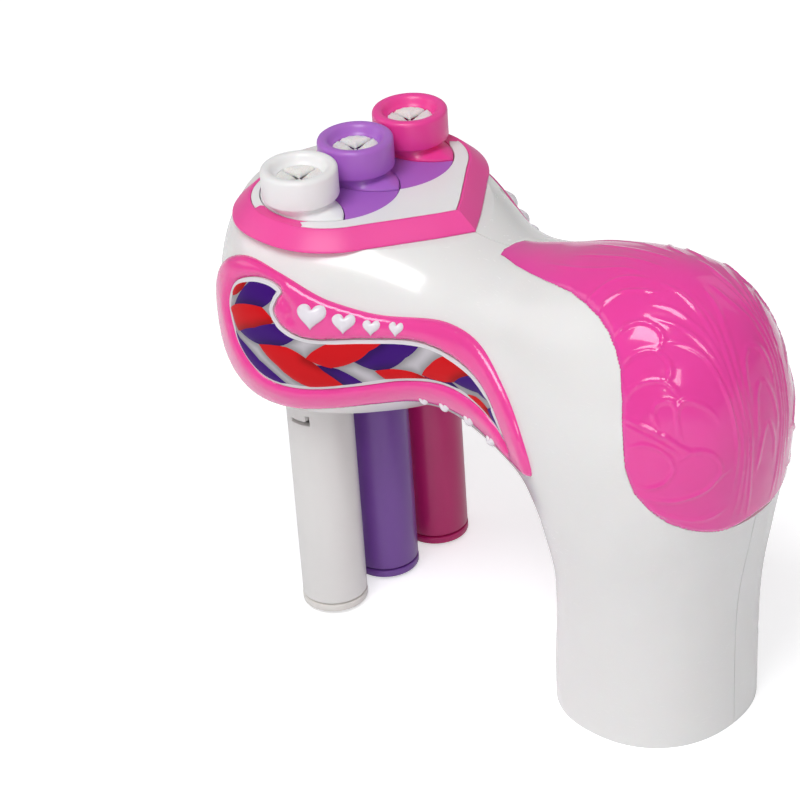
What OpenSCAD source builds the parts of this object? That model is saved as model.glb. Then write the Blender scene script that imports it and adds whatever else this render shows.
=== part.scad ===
// Automatic hair braider: three heads that pass strands round one another, on a pistol grip.
// Origin: centre of the flat base of the grip. +Z up, +X to the back of the hand,
// the row of heads stands ahead of the grip, across it (along Y).

/* [Overall] */
// Distance from the grip's axis forward to the row of heads
reach = 96; // [90:1:120]
// Height of the deck above the base
deck_height = 122; // [118:1:150]

/* [Housing] */
// Half width of the head casing
head_half_w = 42; // [40:0.5:52]
// Casing's front, ahead of the row
nose = 33; // [32:0.5:42]
// Half width of the neck
neck_half_w = 25; // [24:0.5:32]
// Half width of the round back
bulb_half_w = 32; // [27:0.5:40]
// Depth of the grip, front to back
grip_l = 50.5; // [48:0.5:64]
// Width of the grip, side to side
grip_w = 51; // [48:0.5:64]
// Wall of the housing shells
wall = 2.2; // [1.6:0.1:2.8]

/* [Heads] */
// Distance between neighbouring heads
head_pitch = 21; // [21:0.5:23]
// Half width of a lens foot, on the line of the row
foot_half = 7.5; // [7:0.1:8]
// Outer diameter of a head's cap
cap_d = 20; // [18:0.5:20.4]
// Height of a cap
cap_h = 8.2; // [6.5:0.1:12]
// Gap under a cap
cap_lift = 2.7; // [2:0.1:4]
// Bore for the strand of hair
hair_d = 8.4; // [7:0.1:9]
// Outside diameter of the stem that a tube plugs onto
stem_d = 12; // [11.4:0.1:12.4]

/* [Hair tubes] */
// Outside diameter of a tube
tube_d = 17.8; // [16.8:0.1:18.4]
// Length of a tube
tube_l = 91; // [70:1:92]
// Length of stem inside a tube
tube_hold = 14; // [10:1:20]

/* [Drive] */
// Teeth of a full rotor, and of the driver
rotor_teeth = 44; // [44]
// Radius to the tooth tips of a rotor, beyond the visible disc
tooth_reach = 1.4; // [1.2:0.1:1.6]
// Module of the reduction gears
gear_m = 0.8; // [0.8]
// Diameter of the steel gear axles
axle_d = 3; // [2.5:0.1:3.2]
// Diameter of the motor can
motor_d = 20.4; // [18:0.1:21]
// Length of the motor can
motor_l = 25; // [22:0.5:26]

/* [Trigger] */
// Width of the trigger
trigger_w = 13; // [11:0.5:15]
// Travel of the trigger
trigger_travel = 3; // [2:0.1:3.2]

/* [Batteries] */
// Diameter of a cell
cell_d = 14.2; // [14.2]
// Length of a cell
cell_l = 50; // [50]

/* [Trim] */
// Width of the sloping rim round the deck
rim_w = 5.2; // [4:0.1:6]
// Drop of the rim's slope
rim_drop = 4.6; // [3.5:0.1:5.5]
// Stand-off of the side bezels from the shells
bezel_proud = 1.6; // [1:0.1:2.4]
// Thickness of the dome cover
dome_t = 2.3; // [1.8:0.1:3]

/* [Hidden] */
$fn = 64;

white = [0.95, 0.95, 0.96];
pink = [1.0, 0.28, 0.65];
purple = [0.62, 0.38, 0.78];
steel = [0.72, 0.74, 0.76];

row_x = -reach;
gap = 0.3;
touch = 0.1;
rotor_y = head_pitch / 2;
rotor_r = rotor_y + foot_half;
tip_r = rotor_r + tooth_reach;

// Levels, measured from the deck's top face
deck_t = rim_drop - touch / 2;
tier_a = -16;
tier_b = -19.5;
tier_end = -23;
disc_end = -24.5;
ledge = -24.8;
ledge_t = 2;
stem_end = -30 - tube_hold;
tube_top = stem_end + tube_hold;
ring_c = -24.2;

// ---- the housing's surface: rings between a belly curve and a back curve ----
// Each station is [belly x, belly z, back x, back z, half width, roundness].
// Stations of the head move with the row, those of the bulb and grip with the grip,
// and those below the bulb stretch with the deck's height.
nose_steps = 6;
nose_slope = 13;
grip_half = grip_l / 2;
function low(z) = -82 + (z + 82) * (deck_height - 82) / 40;
function nose_station(k) = let (a = 4 + 86 * k / nose_steps)
  [row_x - nose * cos(a), -66 + 1.5 * k / nose_steps, row_x - nose * cos(a), 4.5 - nose_slope * pow(cos(a), 4),
   head_half_w * pow(sin(a), 0.95), 2.45];
STATIONS = concat([for (k = [0 : nose_steps]) nose_station(k)], [
  [row_x + 9, -63, row_x + 9, 4, head_half_w - 1, 2.45],
  [row_x + 18, -60.5, row_x + 19, 2.5, (head_half_w * 11 + neck_half_w * 4) / 15, 2.4],
  [row_x + 27, -56.5, row_x + 30, -1, (head_half_w * 7 + neck_half_w * 9) / 16, 2.35],
  [row_x + 36, -52.6, row_x + 41, -rim_drop, neck_half_w + 3, 2.3],
  [row_x + 45, -53.6, row_x + 53, -rim_drop - 0.15, neck_half_w + 0.5, 2.2],
  [-42.5, -58, -30, -2, neck_half_w, 2.15],
  [-35, -62, -15, 2.5, (2 * neck_half_w + bulb_half_w) / 3 - 0.3, 2.1],
  [-grip_half - 3.8, -66.5, 1, 5.5, bulb_half_w - 2, 2],
  [-grip_half + 0.2, -73.5, 16, 4, bulb_half_w, 2],
  [-grip_half + 1.7, -82, 28.5, -6, bulb_half_w, 2],
  [-grip_half + 1.9, low(-89), 35.5, -24, (grip_w + 10) / 2, 2],
  [-grip_half + 1.5, low(-96), 35, -42, (grip_w + 6.6) / 2, 2.05],
  [-grip_half + 0.9, low(-104), grip_half + 5.7, -62, (grip_w + 3) / 2, 2.1],
  [-grip_half + 0.5, low(-112), grip_half + 1.2, low(-86), (grip_w + 1) / 2, 2.2],
  [-grip_half, -deck_height, grip_half, -deck_height, grip_w / 2, 2.2]]);
SUB = 2;
RING = 48;
LAST = len(STATIONS) - 1;
function cr(a, b, c, d, u) = 0.5 * (2 * b + (c - a) * u + (2 * a - 5 * b + 4 * c - d) * u * u
  + (3 * b - a - 3 * c + d) * u * u * u);
function station(i) = STATIONS[max(0, min(LAST, i))];
function along(t) = let (i = min(LAST - 1, floor(t)))
  cr(station(i - 1), station(i), station(i + 1), station(i + 2), t - i);
function spow(v, e) = sign(v) * pow(abs(v), e);
// One ring of the surface, moved inward by `inset`; inner walls have half the points
function around(inset) = inset > 1 ? RING / 2 : RING;
function ring(s, inset) = let (
    d = [s[2] - s[0], s[3] - s[1]], half = norm(d) / 2, u = d / norm(d),
    mid = [s[0] + s[2], s[1] + s[3]] / 2,
    front = max(0, inset > 0 ? 1 - s[4] / head_half_w : 0) * (s[0] < row_x ? 1 : 0),
    w = max(0.6, s[4] - inset), h = half - inset, e = 2 / s[5])
  [for (k = [0 : around(inset) - 1]) let (a = 360 * k / around(inset), c = spow(cos(a), e) * h)
    [mid[0] + u[0] * c + inset * front, w * spow(sin(a), e), mid[1] + u[1] * c + deck_height]];
function rings(inset) = [for (j = [0 : LAST * SUB]) ring(along(j / SUB), inset)];
// The solid inside the housing's surface, moved inward by `inset`
module body_solid(inset = 0) {
  R = concat(rings(inset), inset > 0 ? [[for (p = ring(station(LAST), inset)) p - [0, 0, 1]]] : []);
  n = len(R);
  m = around(inset);
  polyhedron(points = [for (r = R) each r],
    faces = concat([[for (k = [m - 1 : -1 : 0]) k]], [[for (k = [0 : m - 1]) (n - 1) * m + k]],
      [for (j = [0 : n - 2], k = [0 : m - 1]) let (a = j * m + k, b = j * m + (k + 1) % m)
        each [[a, b, b + m], [a, b + m, a + m]]]));
}
// Keeps a freeform piece as one mesh
module freeform() resize([0, 0, 0]) children();
module side(s) translate([-400, s > 0 ? 0 : -400, -400]) cube([800, 400, 800]);
// A prism across the housing from an outline drawn in side view, measured from the deck
module side_prism(outline, grow = 0) translate([0, 200, deck_height]) rotate([90, 0, 0])
  linear_extrude(400) offset(delta = grow) polygon(outline);
function closed_curve(p, n = 4) = let (m = len(p))
  [for (i = [0 : m - 1], j = [0 : n - 1])
    cr(p[(i + m - 1) % m], p[i], p[(i + 1) % m], p[(i + 2) % m], j / n)];
function head_x(p) = [for (q = p) [q[0] + row_x, q[1]]];

// Outlines of the trim, in side view: x from the row (or from the grip), z from the deck
BEZEL = head_x([[-19, -24], [-14.5, -14.5], [-5, -9.8], [8, -11], [21, -15.5], [34, -18], [50, -17],
  [62, -19.5], [72.5, -27], [79, -35.5], [82, -46.5], [73, -46.5], [64, -43], [52.5, -38.6],
  [41, -40.4], [29, -44.8], [16, -49], [4, -51], [-8, -49.5], [-16, -40]]);
OPENING = head_x([[-9.5, -22], [-7, -16.5], [-1, -13.5], [5, -13], [8.7, -14.6], [7.8, -17],
  [7.2, -20.3], [10.5, -24], [17, -26], [30, -24.5], [44, -23.3], [56, -25.5], [65, -30], [70, -36],
  [73.3, -43.5], [68, -38.8], [60, -35.6], [50, -34], [38, -36], [26, -39.5], [13, -42], [2, -41],
  [-5.5, -34.5], [-8.8, -27]]);
DOME = [[-45, -5.7], [-30, -4.2], [-17, -1.8], [-6.5, -1.2], [1.6, -2.8], [7.8, -6.4], [11.5, -11.7],
  [13.6, -20.4], [15, -31], [16.9, -38], [21.3, -45], [26, -50.6], [30, -54.3], [34, -56], [60, -56],
  [60, 30], [-45, 30]];
HEARTS = head_x([[17.5, -19.1], [25.2, -20.2], [31.8, -20.7], [37.9, -20.5],
  [42.5, -40.8], [49.2, -40.7], [57.8, -41.7], [66.3, -44]]);
HEART_W = [7.4, 5.8, 4.4, 4, 2.8, 3.4, 3.8, 3.8];

// Outline of the deck in plan, from the row: a heart with its tip to the back
HALF_DECK = [[34.4, 0], [31.4, 4.7], [21.5, 18.4], [16.2, 25.4], [9.2, 29.8], [0.5, 31], [-8.6, 29.4],
  [-15.4, 23.8], [-19, 15.8], [-18.6, 8], [-15.4, 0]];
function half_curve(p, n = 3) = let (m = len(p) - 1)
  [for (i = [0 : m - 1], j = [0 : n - 1]) i == 0 ? p[0] + (p[1] - p[0]) * j / n :
    cr(p[i - 1], p[i], p[i + 1], p[min(m, i + 2)], j / n)];
deck_side = half_curve(HALF_DECK);
DECK = concat(deck_side, [HALF_DECK[len(HALF_DECK) - 1]],
  [for (i = [len(deck_side) - 1 : -1 : 1]) [deck_side[i][0], -deck_side[i][1]]]);
// Outline moved outward by w, with a mitred tip
function normal_at(p, i) = let (m = len(p), a = p[(i + m - 1) % m], b = p[i], c = p[(i + 1) % m],
    n1 = [b[1] - a[1], a[0] - b[0]] / norm(b - a), n2 = [c[1] - b[1], b[0] - c[0]] / norm(c - b),
    s = n1 + n2) s * 2 / (s * s);
function grown(p, w) = [for (i = [0 : len(p) - 1]) p[i] + w * normal_at(p, i)];

module at_deck(y = 0, z = 0) translate([row_x, y, deck_height + z]) children();
// A straight cylinder between two levels
module level(r, z0, z1) translate([0, 0, min(z0, z1)]) cylinder(r = r, h = abs(z1 - z0));
// The figure-eight that both rotors turn in
module eight(r, z0, z1) for (s = [-1, 1]) translate([0, s * rotor_y, 0]) level(r, z0, z1);

// ---------------------------------------------------------------- housing
boss_r = 2.7;
screw_r = 1.2;
// Places of the screws that join the shells: x, z from the deck
BOSSES = [[row_x + 26, -10.2], [row_x + 46, -46], [-32, -54], [grip_half - 5, -deck_height + 20],
  [24, -33]];
mouth_front = -55.5;
shelf_t = 2;
mouth_rise = 3.5;
mouth_back = 35;
module mouth_cut() // everything below the tilted lower edge of the head casing
  translate([0, 200, deck_height]) rotate([90, 0, 0]) linear_extrude(400)
    polygon([[row_x - 80, mouth_front - 4], [row_x - nose, mouth_front],
      [row_x + mouth_back, mouth_front + mouth_rise], [row_x + mouth_back, -90], [row_x - 80, -90]]);
module deck_cut() at_deck(0, -rim_drop) translate([-100, -100, 0]) cube([146, 200, 60]);
trigger_z = -74;
trigger_half_h = 10;
trigger_side = 0.3;
module trigger_slot() translate([-grip_half - 22, -trigger_w / 2 - trigger_side,
    deck_height + trigger_z - trigger_half_h - trigger_side])
  cube([27.4, trigger_w + 2 * trigger_side, 2 * (trigger_half_h + trigger_side)]);
ledge_in = 4;
module casing() {
  difference() {
    body_solid();
    body_solid(wall);
    side_prism(DOME, touch);
  }
  // Under the dome cover the shell is set in
  intersection() {
    difference() { body_solid(dome_t - 0.5); body_solid(dome_t + 1.1); }
    side_prism(DOME, ledge_in);
  }
  // The shelf under the deck and its rim
  intersection() {
    body_solid(wall - 0.6);
    at_deck() translate([-nose - 5, -60, -rim_drop - shelf_t]) cube([nose + 40, 120, shelf_t + 0.5]);
  }
  // A rib that the track plate stands on
  intersection() {
    difference() {
      body_solid(wall - 0.6);
      at_deck() eight(tip_r + 6.5, ledge - 30, 0);
    }
    at_deck() translate([-nose - 5, -60, ledge - ledge_t - 2.2]) cube([nose + 28, 120, 2]);
  }
}
module shell(s) color(white) freeform() difference() {
  union() {
    intersection() { casing(); side(s); }
    for (b = BOSSES) intersection() {
      translate([b[0], 0, b[1] + deck_height]) rotate([-90 * s, 0, 0]) cylinder(r = boss_r, h = 60, $fn = 24);
      body_solid(wall - 0.5);
      side(s);
    }
  }
  mouth_cut();
  deck_cut();
  at_deck() eight(rotor_r + gap + 1.9, tier_a - 1, 1);
  trigger_slot();
  for (b = BOSSES) translate([b[0], 0, b[1] + deck_height]) rotate([90, 0, 0]) {
    if (s > 0) mirror([0, 0, 1]) cylinder(r = screw_r + 0.3, h = 60, $fn = 24);
    else cylinder(r = screw_r + 0.03, h = 9, $fn = 24);
    if (s > 0) mirror([0, 0, 1]) translate([0, 0, 9]) cylinder(r = 2.3, h = 60, $fn = 24);
  }
}
module left_shell() shell(-1);
module right_shell() shell(1);
module shell_screws() color(steel) for (b = BOSSES) translate([b[0], 9, b[1] + deck_height])
  rotate([90, 0, 0]) {
    cylinder(r = screw_r, h = 17);
    mirror([0, 0, 1]) difference() {
      cylinder(r = 2.2, h = 1.8);
      translate([-0.3, -1.8, 1]) cube([0.6, 3.6, 1]);
      translate([-1.8, -0.3, 1]) cube([3.6, 0.6, 1]);
    }
  }
module dome_cover() color(pink) freeform() intersection() {
  difference() { body_solid(-0.5); body_solid(dome_t - 0.6); }
  side_prism(DOME);
}
module bezel(s) color(pink) freeform() difference() {
  intersection() {
    difference() { body_solid(-bezel_proud); body_solid(-touch); }
    side_prism(closed_curve(BEZEL));
    translate([0, s * 10, 0]) side(s);
  }
  side_prism(closed_curve(OPENING, 3));
  mouth_cut();
}
module left_bezel() bezel(-1);
module right_bezel() bezel(1);
// The plaited panel lies in the bezel's opening
module braid_panel(s) color([0.84, 0.1, 0.13]) freeform() intersection() {
  difference() { body_solid(-bezel_proud / 2); body_solid(-touch); }
  side_prism(closed_curve(OPENING, 3), -0.2);
  translate([0, s * 10, 0]) side(s);
}
module left_braid_panel() braid_panel(-1);
module right_braid_panel() braid_panel(1);
function heart_curve(w) = [for (a = [0 : 20 : 340])
  w / 32 * [16 * pow(sin(a), 3), 13 * cos(a) - 5 * cos(2 * a) - 2 * cos(3 * a) - cos(4 * a)]];
module heart_studs(s) color(white) freeform() for (i = [0 : len(HEARTS) - 1]) intersection() {
  difference() { body_solid(-bezel_proud - 0.28 * HEART_W[i]); body_solid(-bezel_proud - 0.05); }
  translate([HEARTS[i][0], 0, HEARTS[i][1] + deck_height]) rotate([90, 0, 0])
    mirror([0, 0, s > 0 ? 1 : 0]) linear_extrude(100) polygon(heart_curve(HEART_W[i]));
}
module left_hearts() heart_studs(-1);
module right_hearts() heart_studs(1);

// ---------------------------------------------------------------- deck
tab_half = 8.5;
rim_land = 0.6;
module deck_plate() color(white) at_deck() difference() {
  union() {
    translate([0, 0, -deck_t]) linear_extrude(deck_t) polygon(grown(DECK, -touch));
    eight(rotor_r + gap + 1.7, tier_a + gap, -deck_t - touch);
    intersection() {
      translate([0, 0, -deck_t - 1]) linear_extrude(2) polygon(grown(DECK, -touch));
      eight(rotor_r + gap + 1.7, tier_a + gap, 0);
    }
  }
  eight(rotor_r + gap, 1, tier_a - 1);
  for (s = [-1, 1]) translate([-tab_half - touch, s > 0 ? rotor_y + 14 : -50, -deck_t - 1])
    cube([2 * tab_half + 2 * touch, 36 - rotor_y, 10]);
}
module heart_rim() color(pink) freeform() at_deck() {
  inner = DECK;
  outer = grown(DECK, rim_w);
  n = len(inner);
  base = -rim_drop + touch / 2;
  land = grown(DECK, rim_land);
  P = concat([for (p = inner) [p[0], p[1], 0]], [for (p = land) [p[0], p[1], 0]],
    [for (p = outer) [p[0], p[1], -rim_drop + 0.6]],
    [for (p = outer) [p[0], p[1], base]], [for (p = inner) [p[0], p[1], base]]);
  polyhedron(points = P, faces = [for (k = [0 : 4], i = [0 : n - 1])
    let (j = (i + 1) % n, a = k * n, b = ((k + 1) % 5) * n) each [[a + i, b + j, b + i], [a + i, a + j, b + j]]]);
  // Tabs that reach in to the two end heads
  for (s = [-1, 1]) intersection() {
    translate([-tab_half, s > 0 ? 0 : -60, -deck_t + 0.2]) cube([2 * tab_half, 60, deck_t - 0.25]);
    difference() {
      translate([0, 0, -deck_t]) linear_extrude(deck_t) polygon(grown(DECK, rim_land / 2));
      translate([0, s * rotor_y, -5]) cylinder(r = rotor_r + gap, h = 10);
    }
  }
}

// ---------------------------------------------------------------- rotors and feet
// Involute tooth, as a polygon about the gear's centre: n teeth at pitch radius rp
function inv(a) = tan(a) - a * PI / 180;
function half_tooth(r, rp, n, pa, slack) = let (rb = rp * cos(pa), q = max(r, rb))
  90 / n - slack + (inv(pa) - inv(acos(rb / q))) * 180 / PI;
function gear_outline(n, rp, root, tip, pa, slack, from = 0, count = -1) =
  let (m = count < 0 ? n : count, q = [root, max(root + 0.05, rp - 0.35), rp, (rp + tip) / 2, tip])
  concat([for (k = [0 : m - 1]) each concat(
    [for (r = q) let (a = (from + k) * 360 / n - half_tooth(r, rp, n, pa, slack)) r * [cos(a), sin(a)]],
    [for (i = [len(q) - 1 : -1 : 0]) let (a = (from + k) * 360 / n + half_tooth(q[i], rp, n, pa, slack))
      q[i] * [cos(a), sin(a)]])],
    m == n ? [] : [for (k = [0 : (n - m) * 2]) let (a = (from + m - 1 + 0.5 + k / 2) * 360 / n)
      root * [cos(a), sin(a)]]);
rotor_pa = 22;
rotor_slack = 0.45;
pitch_r = tip_r - 0.75;
root_r = pitch_r - 0.95;
blank_r = root_r - 1.4;
disc_r = tip_r - 0.2;
centre_d = 2 * pitch_r;
driver_x = sqrt(centre_d * centre_d - rotor_y * rotor_y);
mesh_a = atan2(rotor_y, driver_x);
tooth_a = 360 / rotor_teeth;
ROTOR_TEETH = gear_outline(rotor_teeth, pitch_r, root_r, tip_r, rotor_pa, rotor_slack);
module toothed(z0, z1) translate([0, 0, min(z0, z1)]) linear_extrude(abs(z1 - z0)) polygon(ROTOR_TEETH);
module bites(r, z0, z1) for (s = [-1, 1]) translate([0, s * head_pitch, 0]) level(r, z0, z1);
module rotor(tier_toothed, tier_blank) {
  difference() {
    level(rotor_r, -gap, tier_a);
    bites(rotor_r + gap, 1, tier_a - 1);
  }
  difference() {
    union() {
      toothed(tier_toothed, tier_toothed == tier_a ? tier_b : tier_end);
      level(blank_r, tier_blank, tier_blank == tier_a ? tier_b : tier_end);
      level(disc_r, tier_end, disc_end);
    }
    bites(tip_r + gap, 1, disc_end - 1);
  }
}
module rotor_left() color(purple) at_deck(-rotor_y) rotor(tier_a, tier_b);
module rotor_right() color(purple) at_deck(rotor_y) rotor(tier_b, tier_a);
// A foot: a lens between two rotor circles, a neck under the cap and a stem for the tube
neck_r = foot_half - 0.4;
spigot_r = hair_d / 2 + 1.6;
module foot() difference() {
  union() {
    intersection() {
      translate([0, -rotor_y, 0]) level(rotor_r, 0, tier_a);
      translate([0, rotor_y, 0]) level(rotor_r, 0, tier_a);
    }
    intersection() {
      translate([0, -rotor_y, 0]) toothed(tier_a, tier_end);
      translate([0, rotor_y, 0]) toothed(tier_a, tier_end);
    }
    intersection() {
      translate([0, -rotor_y, 0]) level(disc_r, tier_end, disc_end);
      translate([0, rotor_y, 0]) level(disc_r, tier_end, disc_end);
    }
    level(neck_r, -1, cap_lift);
    level(spigot_r, 0, cap_lift + 4);
    level(stem_d / 2, tier_end, stem_end);
  }
  level(hair_d / 2, cap_lift + 10, stem_end - 1);
}
module white_foot() color(white) at_deck(-head_pitch) foot();
module purple_foot() color(purple) at_deck(0) foot();
module pink_foot() color(pink) at_deck(head_pitch) foot();
cap_round = 1.6;
module cap() translate([0, 0, cap_lift]) rotate_extrude() difference() {
  union() {
    translate([spigot_r + touch, 0]) square([cap_d / 2 - spigot_r - touch, cap_h - cap_round]);
    translate([spigot_r + touch, 0]) square([cap_d / 2 - cap_round - spigot_r - touch, cap_h]);
    translate([cap_d / 2 - cap_round, cap_h - cap_round]) circle(r = cap_round);
  }
  // The dished mouth
  polygon([[0, cap_h - 2.6], [spigot_r + 0.7, cap_h - 2.6], [spigot_r + 1.9, cap_h + 0.1], [0, cap_h + 0.1]]);
}
module white_cap() color(white) at_deck(-head_pitch) cap();
module purple_cap() color(purple) at_deck(0) cap();
module pink_cap() color(pink) at_deck(head_pitch) cap();
// Two foam flaps that grip the strand
pad_t = 1.6;
pad_slot = 4.8;
module pads() translate([0, 0, cap_lift + 4.1]) difference() {
  cylinder(r = spigot_r - touch / 2, h = pad_t);
  translate([-pad_slot / 2, -4.6, -1]) cube([pad_slot, 9.2, 5]);
}
module white_pads() color(white) at_deck(-head_pitch) pads();
module purple_pads() color(white) at_deck(0) pads();
module pink_pads() color(white) at_deck(head_pitch) pads();

// ---------------------------------------------------------------- hair tubes
tube_wall = 1.6;
tube_ring_h = 3;
module tube() translate([0, 0, tube_top - tube_l]) difference() {
  union() {
    cylinder(r = tube_d / 2 - 1, h = tube_l);
    translate([0, 0, tube_ring_h + 0.6]) cylinder(r = tube_d / 2, h = tube_l - tube_ring_h - 1.6);
  }
  translate([0, 0, -1]) cylinder(r = tube_d / 2 - tube_wall - 0.6, h = tube_l - tube_hold - 1);
  translate([0, 0, tube_l - tube_hold - 2.1]) cylinder(r = stem_d / 2 + gap / 2, h = tube_hold + 5);
  // Latch notch near the mouth of the casing
  translate([-1, -tube_d / 2 - 1, tube_l - 36]) cube([5, 1.8, 2.6]);
}
module white_tube() color(white) at_deck(-head_pitch) tube();
module purple_tube() color(purple) at_deck(0) tube();
module pink_tube() color(pink) at_deck(head_pitch) tube();
module tube_ring() translate([0, 0, tube_top - tube_l]) difference() {
  cylinder(r = tube_d / 2 + 0.1, h = tube_ring_h);
  translate([0, 0, -1]) cylinder(r = tube_d / 2 - 1 + touch / 2, h = tube_ring_h + 2);
}
module white_tube_ring() color([0.9, 0.88, 0.86]) at_deck(-head_pitch) tube_ring();
module purple_tube_ring() color(purple) at_deck(0) tube_ring();
module pink_tube_ring() color(pink) at_deck(head_pitch) tube_ring();

// ---------------------------------------------------------------- track plate
module track_plate() color([0.88, 0.88, 0.9]) at_deck() difference() {
  union() {
    eight(tip_r + 6, ledge, ledge - ledge_t);
    eight(tip_r + gap + 1.8, tier_a + gap, ledge - ledge_t);
  }
  eight(tip_r + gap, tier_a + 1, ledge);
  eight(rotor_y + stem_d / 2 + gap, 1, ledge - ledge_t - 1);
  translate([driver_x, 0, 0]) level(tip_r + 0.5, 1, ledge - ledge_t - 1);
}

// ---------------------------------------------------------------- gear train
pinion_n = 10;
large_n = 40;
mid_n = 36;
small_n = 12;
ring_n = 40;
gear_pa = 25;
gear_slack = 1.1;
second_x = driver_x + gear_m * (ring_n + small_n) / 2;
first_x = second_x + gear_m * (mid_n + small_n) / 2;
motor_x = first_x + gear_m * (large_n + pinion_n) / 2;
z_second = -30;
z_first = -35;
gear_t = 3;
module gear(n, z, h, phase = 0) translate([0, 0, z - h]) rotate([0, 0, phase]) linear_extrude(h)
  polygon(gear_outline(n, gear_m * n / 2, gear_m * (n / 2 - 1.05), gear_m * (n / 2 + 0.8),
    gear_pa, gear_slack * 20 / n));
module axle_bore(z0, z1) level(axle_d / 2 + 0.05, z0, z1);
// Phases that seat a tooth of one gear in a gap of the next, with all centres on one line
ring_phase = 0;
second_small_phase = 180 - 180 / small_n;
second_large_phase = 0;
first_small_phase = 180 - 180 / small_n;
first_large_phase = 0;
pinion_phase = 180 - 180 / pinion_n;
// The driver's two toothed tiers: each has teeth on one half only, and the upper one is in mesh
phase_err = mesh_a - round(mesh_a / tooth_a) * tooth_a;
driver_a_phase = 180 + mesh_a + phase_err + tooth_a / 2;
tier_b_tip = centre_d - tip_r - 0.3;
half_n = rotor_teeth / 2;
module driver_gear() color([0.9, 0.86, 0.7]) at_deck() translate([driver_x, 0, 0]) difference() {
  union() {
    translate([0, 0, tier_b + touch]) rotate([0, 0, driver_a_phase])
      linear_extrude(tier_a - tier_b - 2 * touch)
      polygon(gear_outline(rotor_teeth, pitch_r, root_r, tip_r, rotor_pa, rotor_slack, 0, half_n));
    translate([0, 0, tier_end + touch]) rotate([0, 0, driver_a_phase + 180 - 2 * mesh_a])
      linear_extrude(tier_b - tier_end)
      polygon(gear_outline(rotor_teeth, pitch_r - 1.6, tier_b_tip - 1.2, tier_b_tip, rotor_pa,
        rotor_slack, 0, half_n));
    gear(ring_n, tier_end + touch, 4, ring_phase);
    level(4, tier_end, frame_z + gap);
    level(3, tier_a + 0.4, tier_a - 1);
  }
  axle_bore(0, -60);
}
module second_gear() color([0.9, 0.86, 0.7]) at_deck() translate([second_x, 0, 0]) difference() {
  union() {
    gear(small_n, ring_c, ring_c - z_second, second_small_phase);
    gear(mid_n, z_second, gear_t, second_large_phase);
    level(2.2, z_second - 1, frame_z + gap);
  }
  axle_bore(0, -60);
}
module first_gear() color([0.9, 0.86, 0.7]) at_deck() translate([first_x, 0, 0]) difference() {
  union() {
    gear(small_n, z_second + 0.5, z_second + 0.5 - z_first, first_small_phase);
    gear(large_n, z_first, gear_t, first_large_phase);
    level(3.2, z_first - 1, frame_z + gap);
  }
  axle_bore(0, -60);
}
module gear_axles() color(steel) at_deck() {
  for (x = [driver_x, first_x]) translate([x, 0, 0]) level(axle_d / 2, cover_z, frame_z - 1.8);
  translate([second_x, 0, 0]) level(axle_d / 2, tier_end - 0.4, frame_z - 1.8);
}
motor_top = -6;
motor_bottom = motor_top - motor_l;
shaft_d = 2;
module motor() color(steel) at_deck() translate([motor_x, 0, 0]) difference() {
  union() {
    intersection() {
      level(motor_d / 2, motor_top, motor_bottom);
      translate([-20, -7.7, motor_bottom - 1]) cube([40, 15.4, motor_l + 2]);
    }
    level(3.1, motor_bottom, motor_bottom - 1.6);
    for (s = [-1, 1]) translate([s * 6 - 0.3, -1.2, motor_top]) cube([0.6, 2.4, 3.4]);
  }
  level(shaft_d / 2 + 0.05, motor_top - 4, motor_bottom - 3);
}
module motor_pinion() color([0.78, 0.66, 0.36]) at_deck() translate([motor_x, 0, 0]) {
  gear(pinion_n, motor_bottom - 2.6, 6, pinion_phase);
  level(shaft_d / 2, motor_top - 5, motor_bottom - 3);
}
frame_z = -40;
frame_t = 2;
cover_z = -13.8;
cover_t = 1.6;
post_x = second_x + 9.6;
post_y = 16.2;
post_r = 1.8;
motor_post = [motor_x + 8, 9.5];
module gearbox_frame() color([0.85, 0.85, 0.87]) at_deck() difference() {
  union() {
    translate([driver_x - 12, -14, frame_z - frame_t]) cube([motor_x + 12 - driver_x + 12, 28, frame_t]);
    translate([post_x - 3, -post_y - 2.2, frame_z - frame_t]) cube([6, 2 * post_y + 4.4, frame_t]);
    for (s = [-1, 1]) translate([post_x, s * post_y, 0]) level(post_r, frame_z, cover_z - cover_t);
    for (s = [-1, 1]) translate([motor_post[0], s * motor_post[1], 0]) level(2, frame_z, motor_bottom - 1.4);
    translate([motor_x - 8, -12, motor_bottom - 1.4]) cube([19, 24, 1.4]);
  }
  for (x = [driver_x, second_x, first_x]) translate([x, 0, 0]) level(axle_d / 2, frame_z + 1, frame_z - 3);
  translate([motor_x, 0, 0]) level(4.3, motor_bottom + 1, motor_bottom - 3);
  for (s = [-1, 1]) translate([post_x, s * post_y, 0]) level(0.8, cover_z - cover_t + 1, cover_z - cover_t - 7);
}
module gearbox_cover() color([0.85, 0.85, 0.87]) at_deck() difference() {
  union() {
    translate([driver_x - 9, -8, cover_z - cover_t]) cube([first_x + 5 - driver_x + 9, 16, cover_t]);
    translate([post_x - 2.2, -post_y, cover_z - cover_t]) cube([4.4, 2 * post_y, cover_t]);
    for (s = [-1, 1]) translate([post_x, s * post_y, 0]) level(2.2, cover_z - cover_t, cover_z);
  }
  for (x = [driver_x, first_x]) translate([x, 0, 0]) level(axle_d / 2, cover_z + 1, cover_z - 3);
  for (s = [-1, 1]) translate([post_x, s * post_y, 0]) level(1.1, cover_z + 1, cover_z - 3);
}
module gearbox_screws() color(steel) at_deck() for (s = [-1, 1]) translate([post_x, s * post_y, 0]) {
  level(0.8, cover_z, cover_z - cover_t - 6);
  level(1.7, cover_z, cover_z + 1);
}

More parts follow.
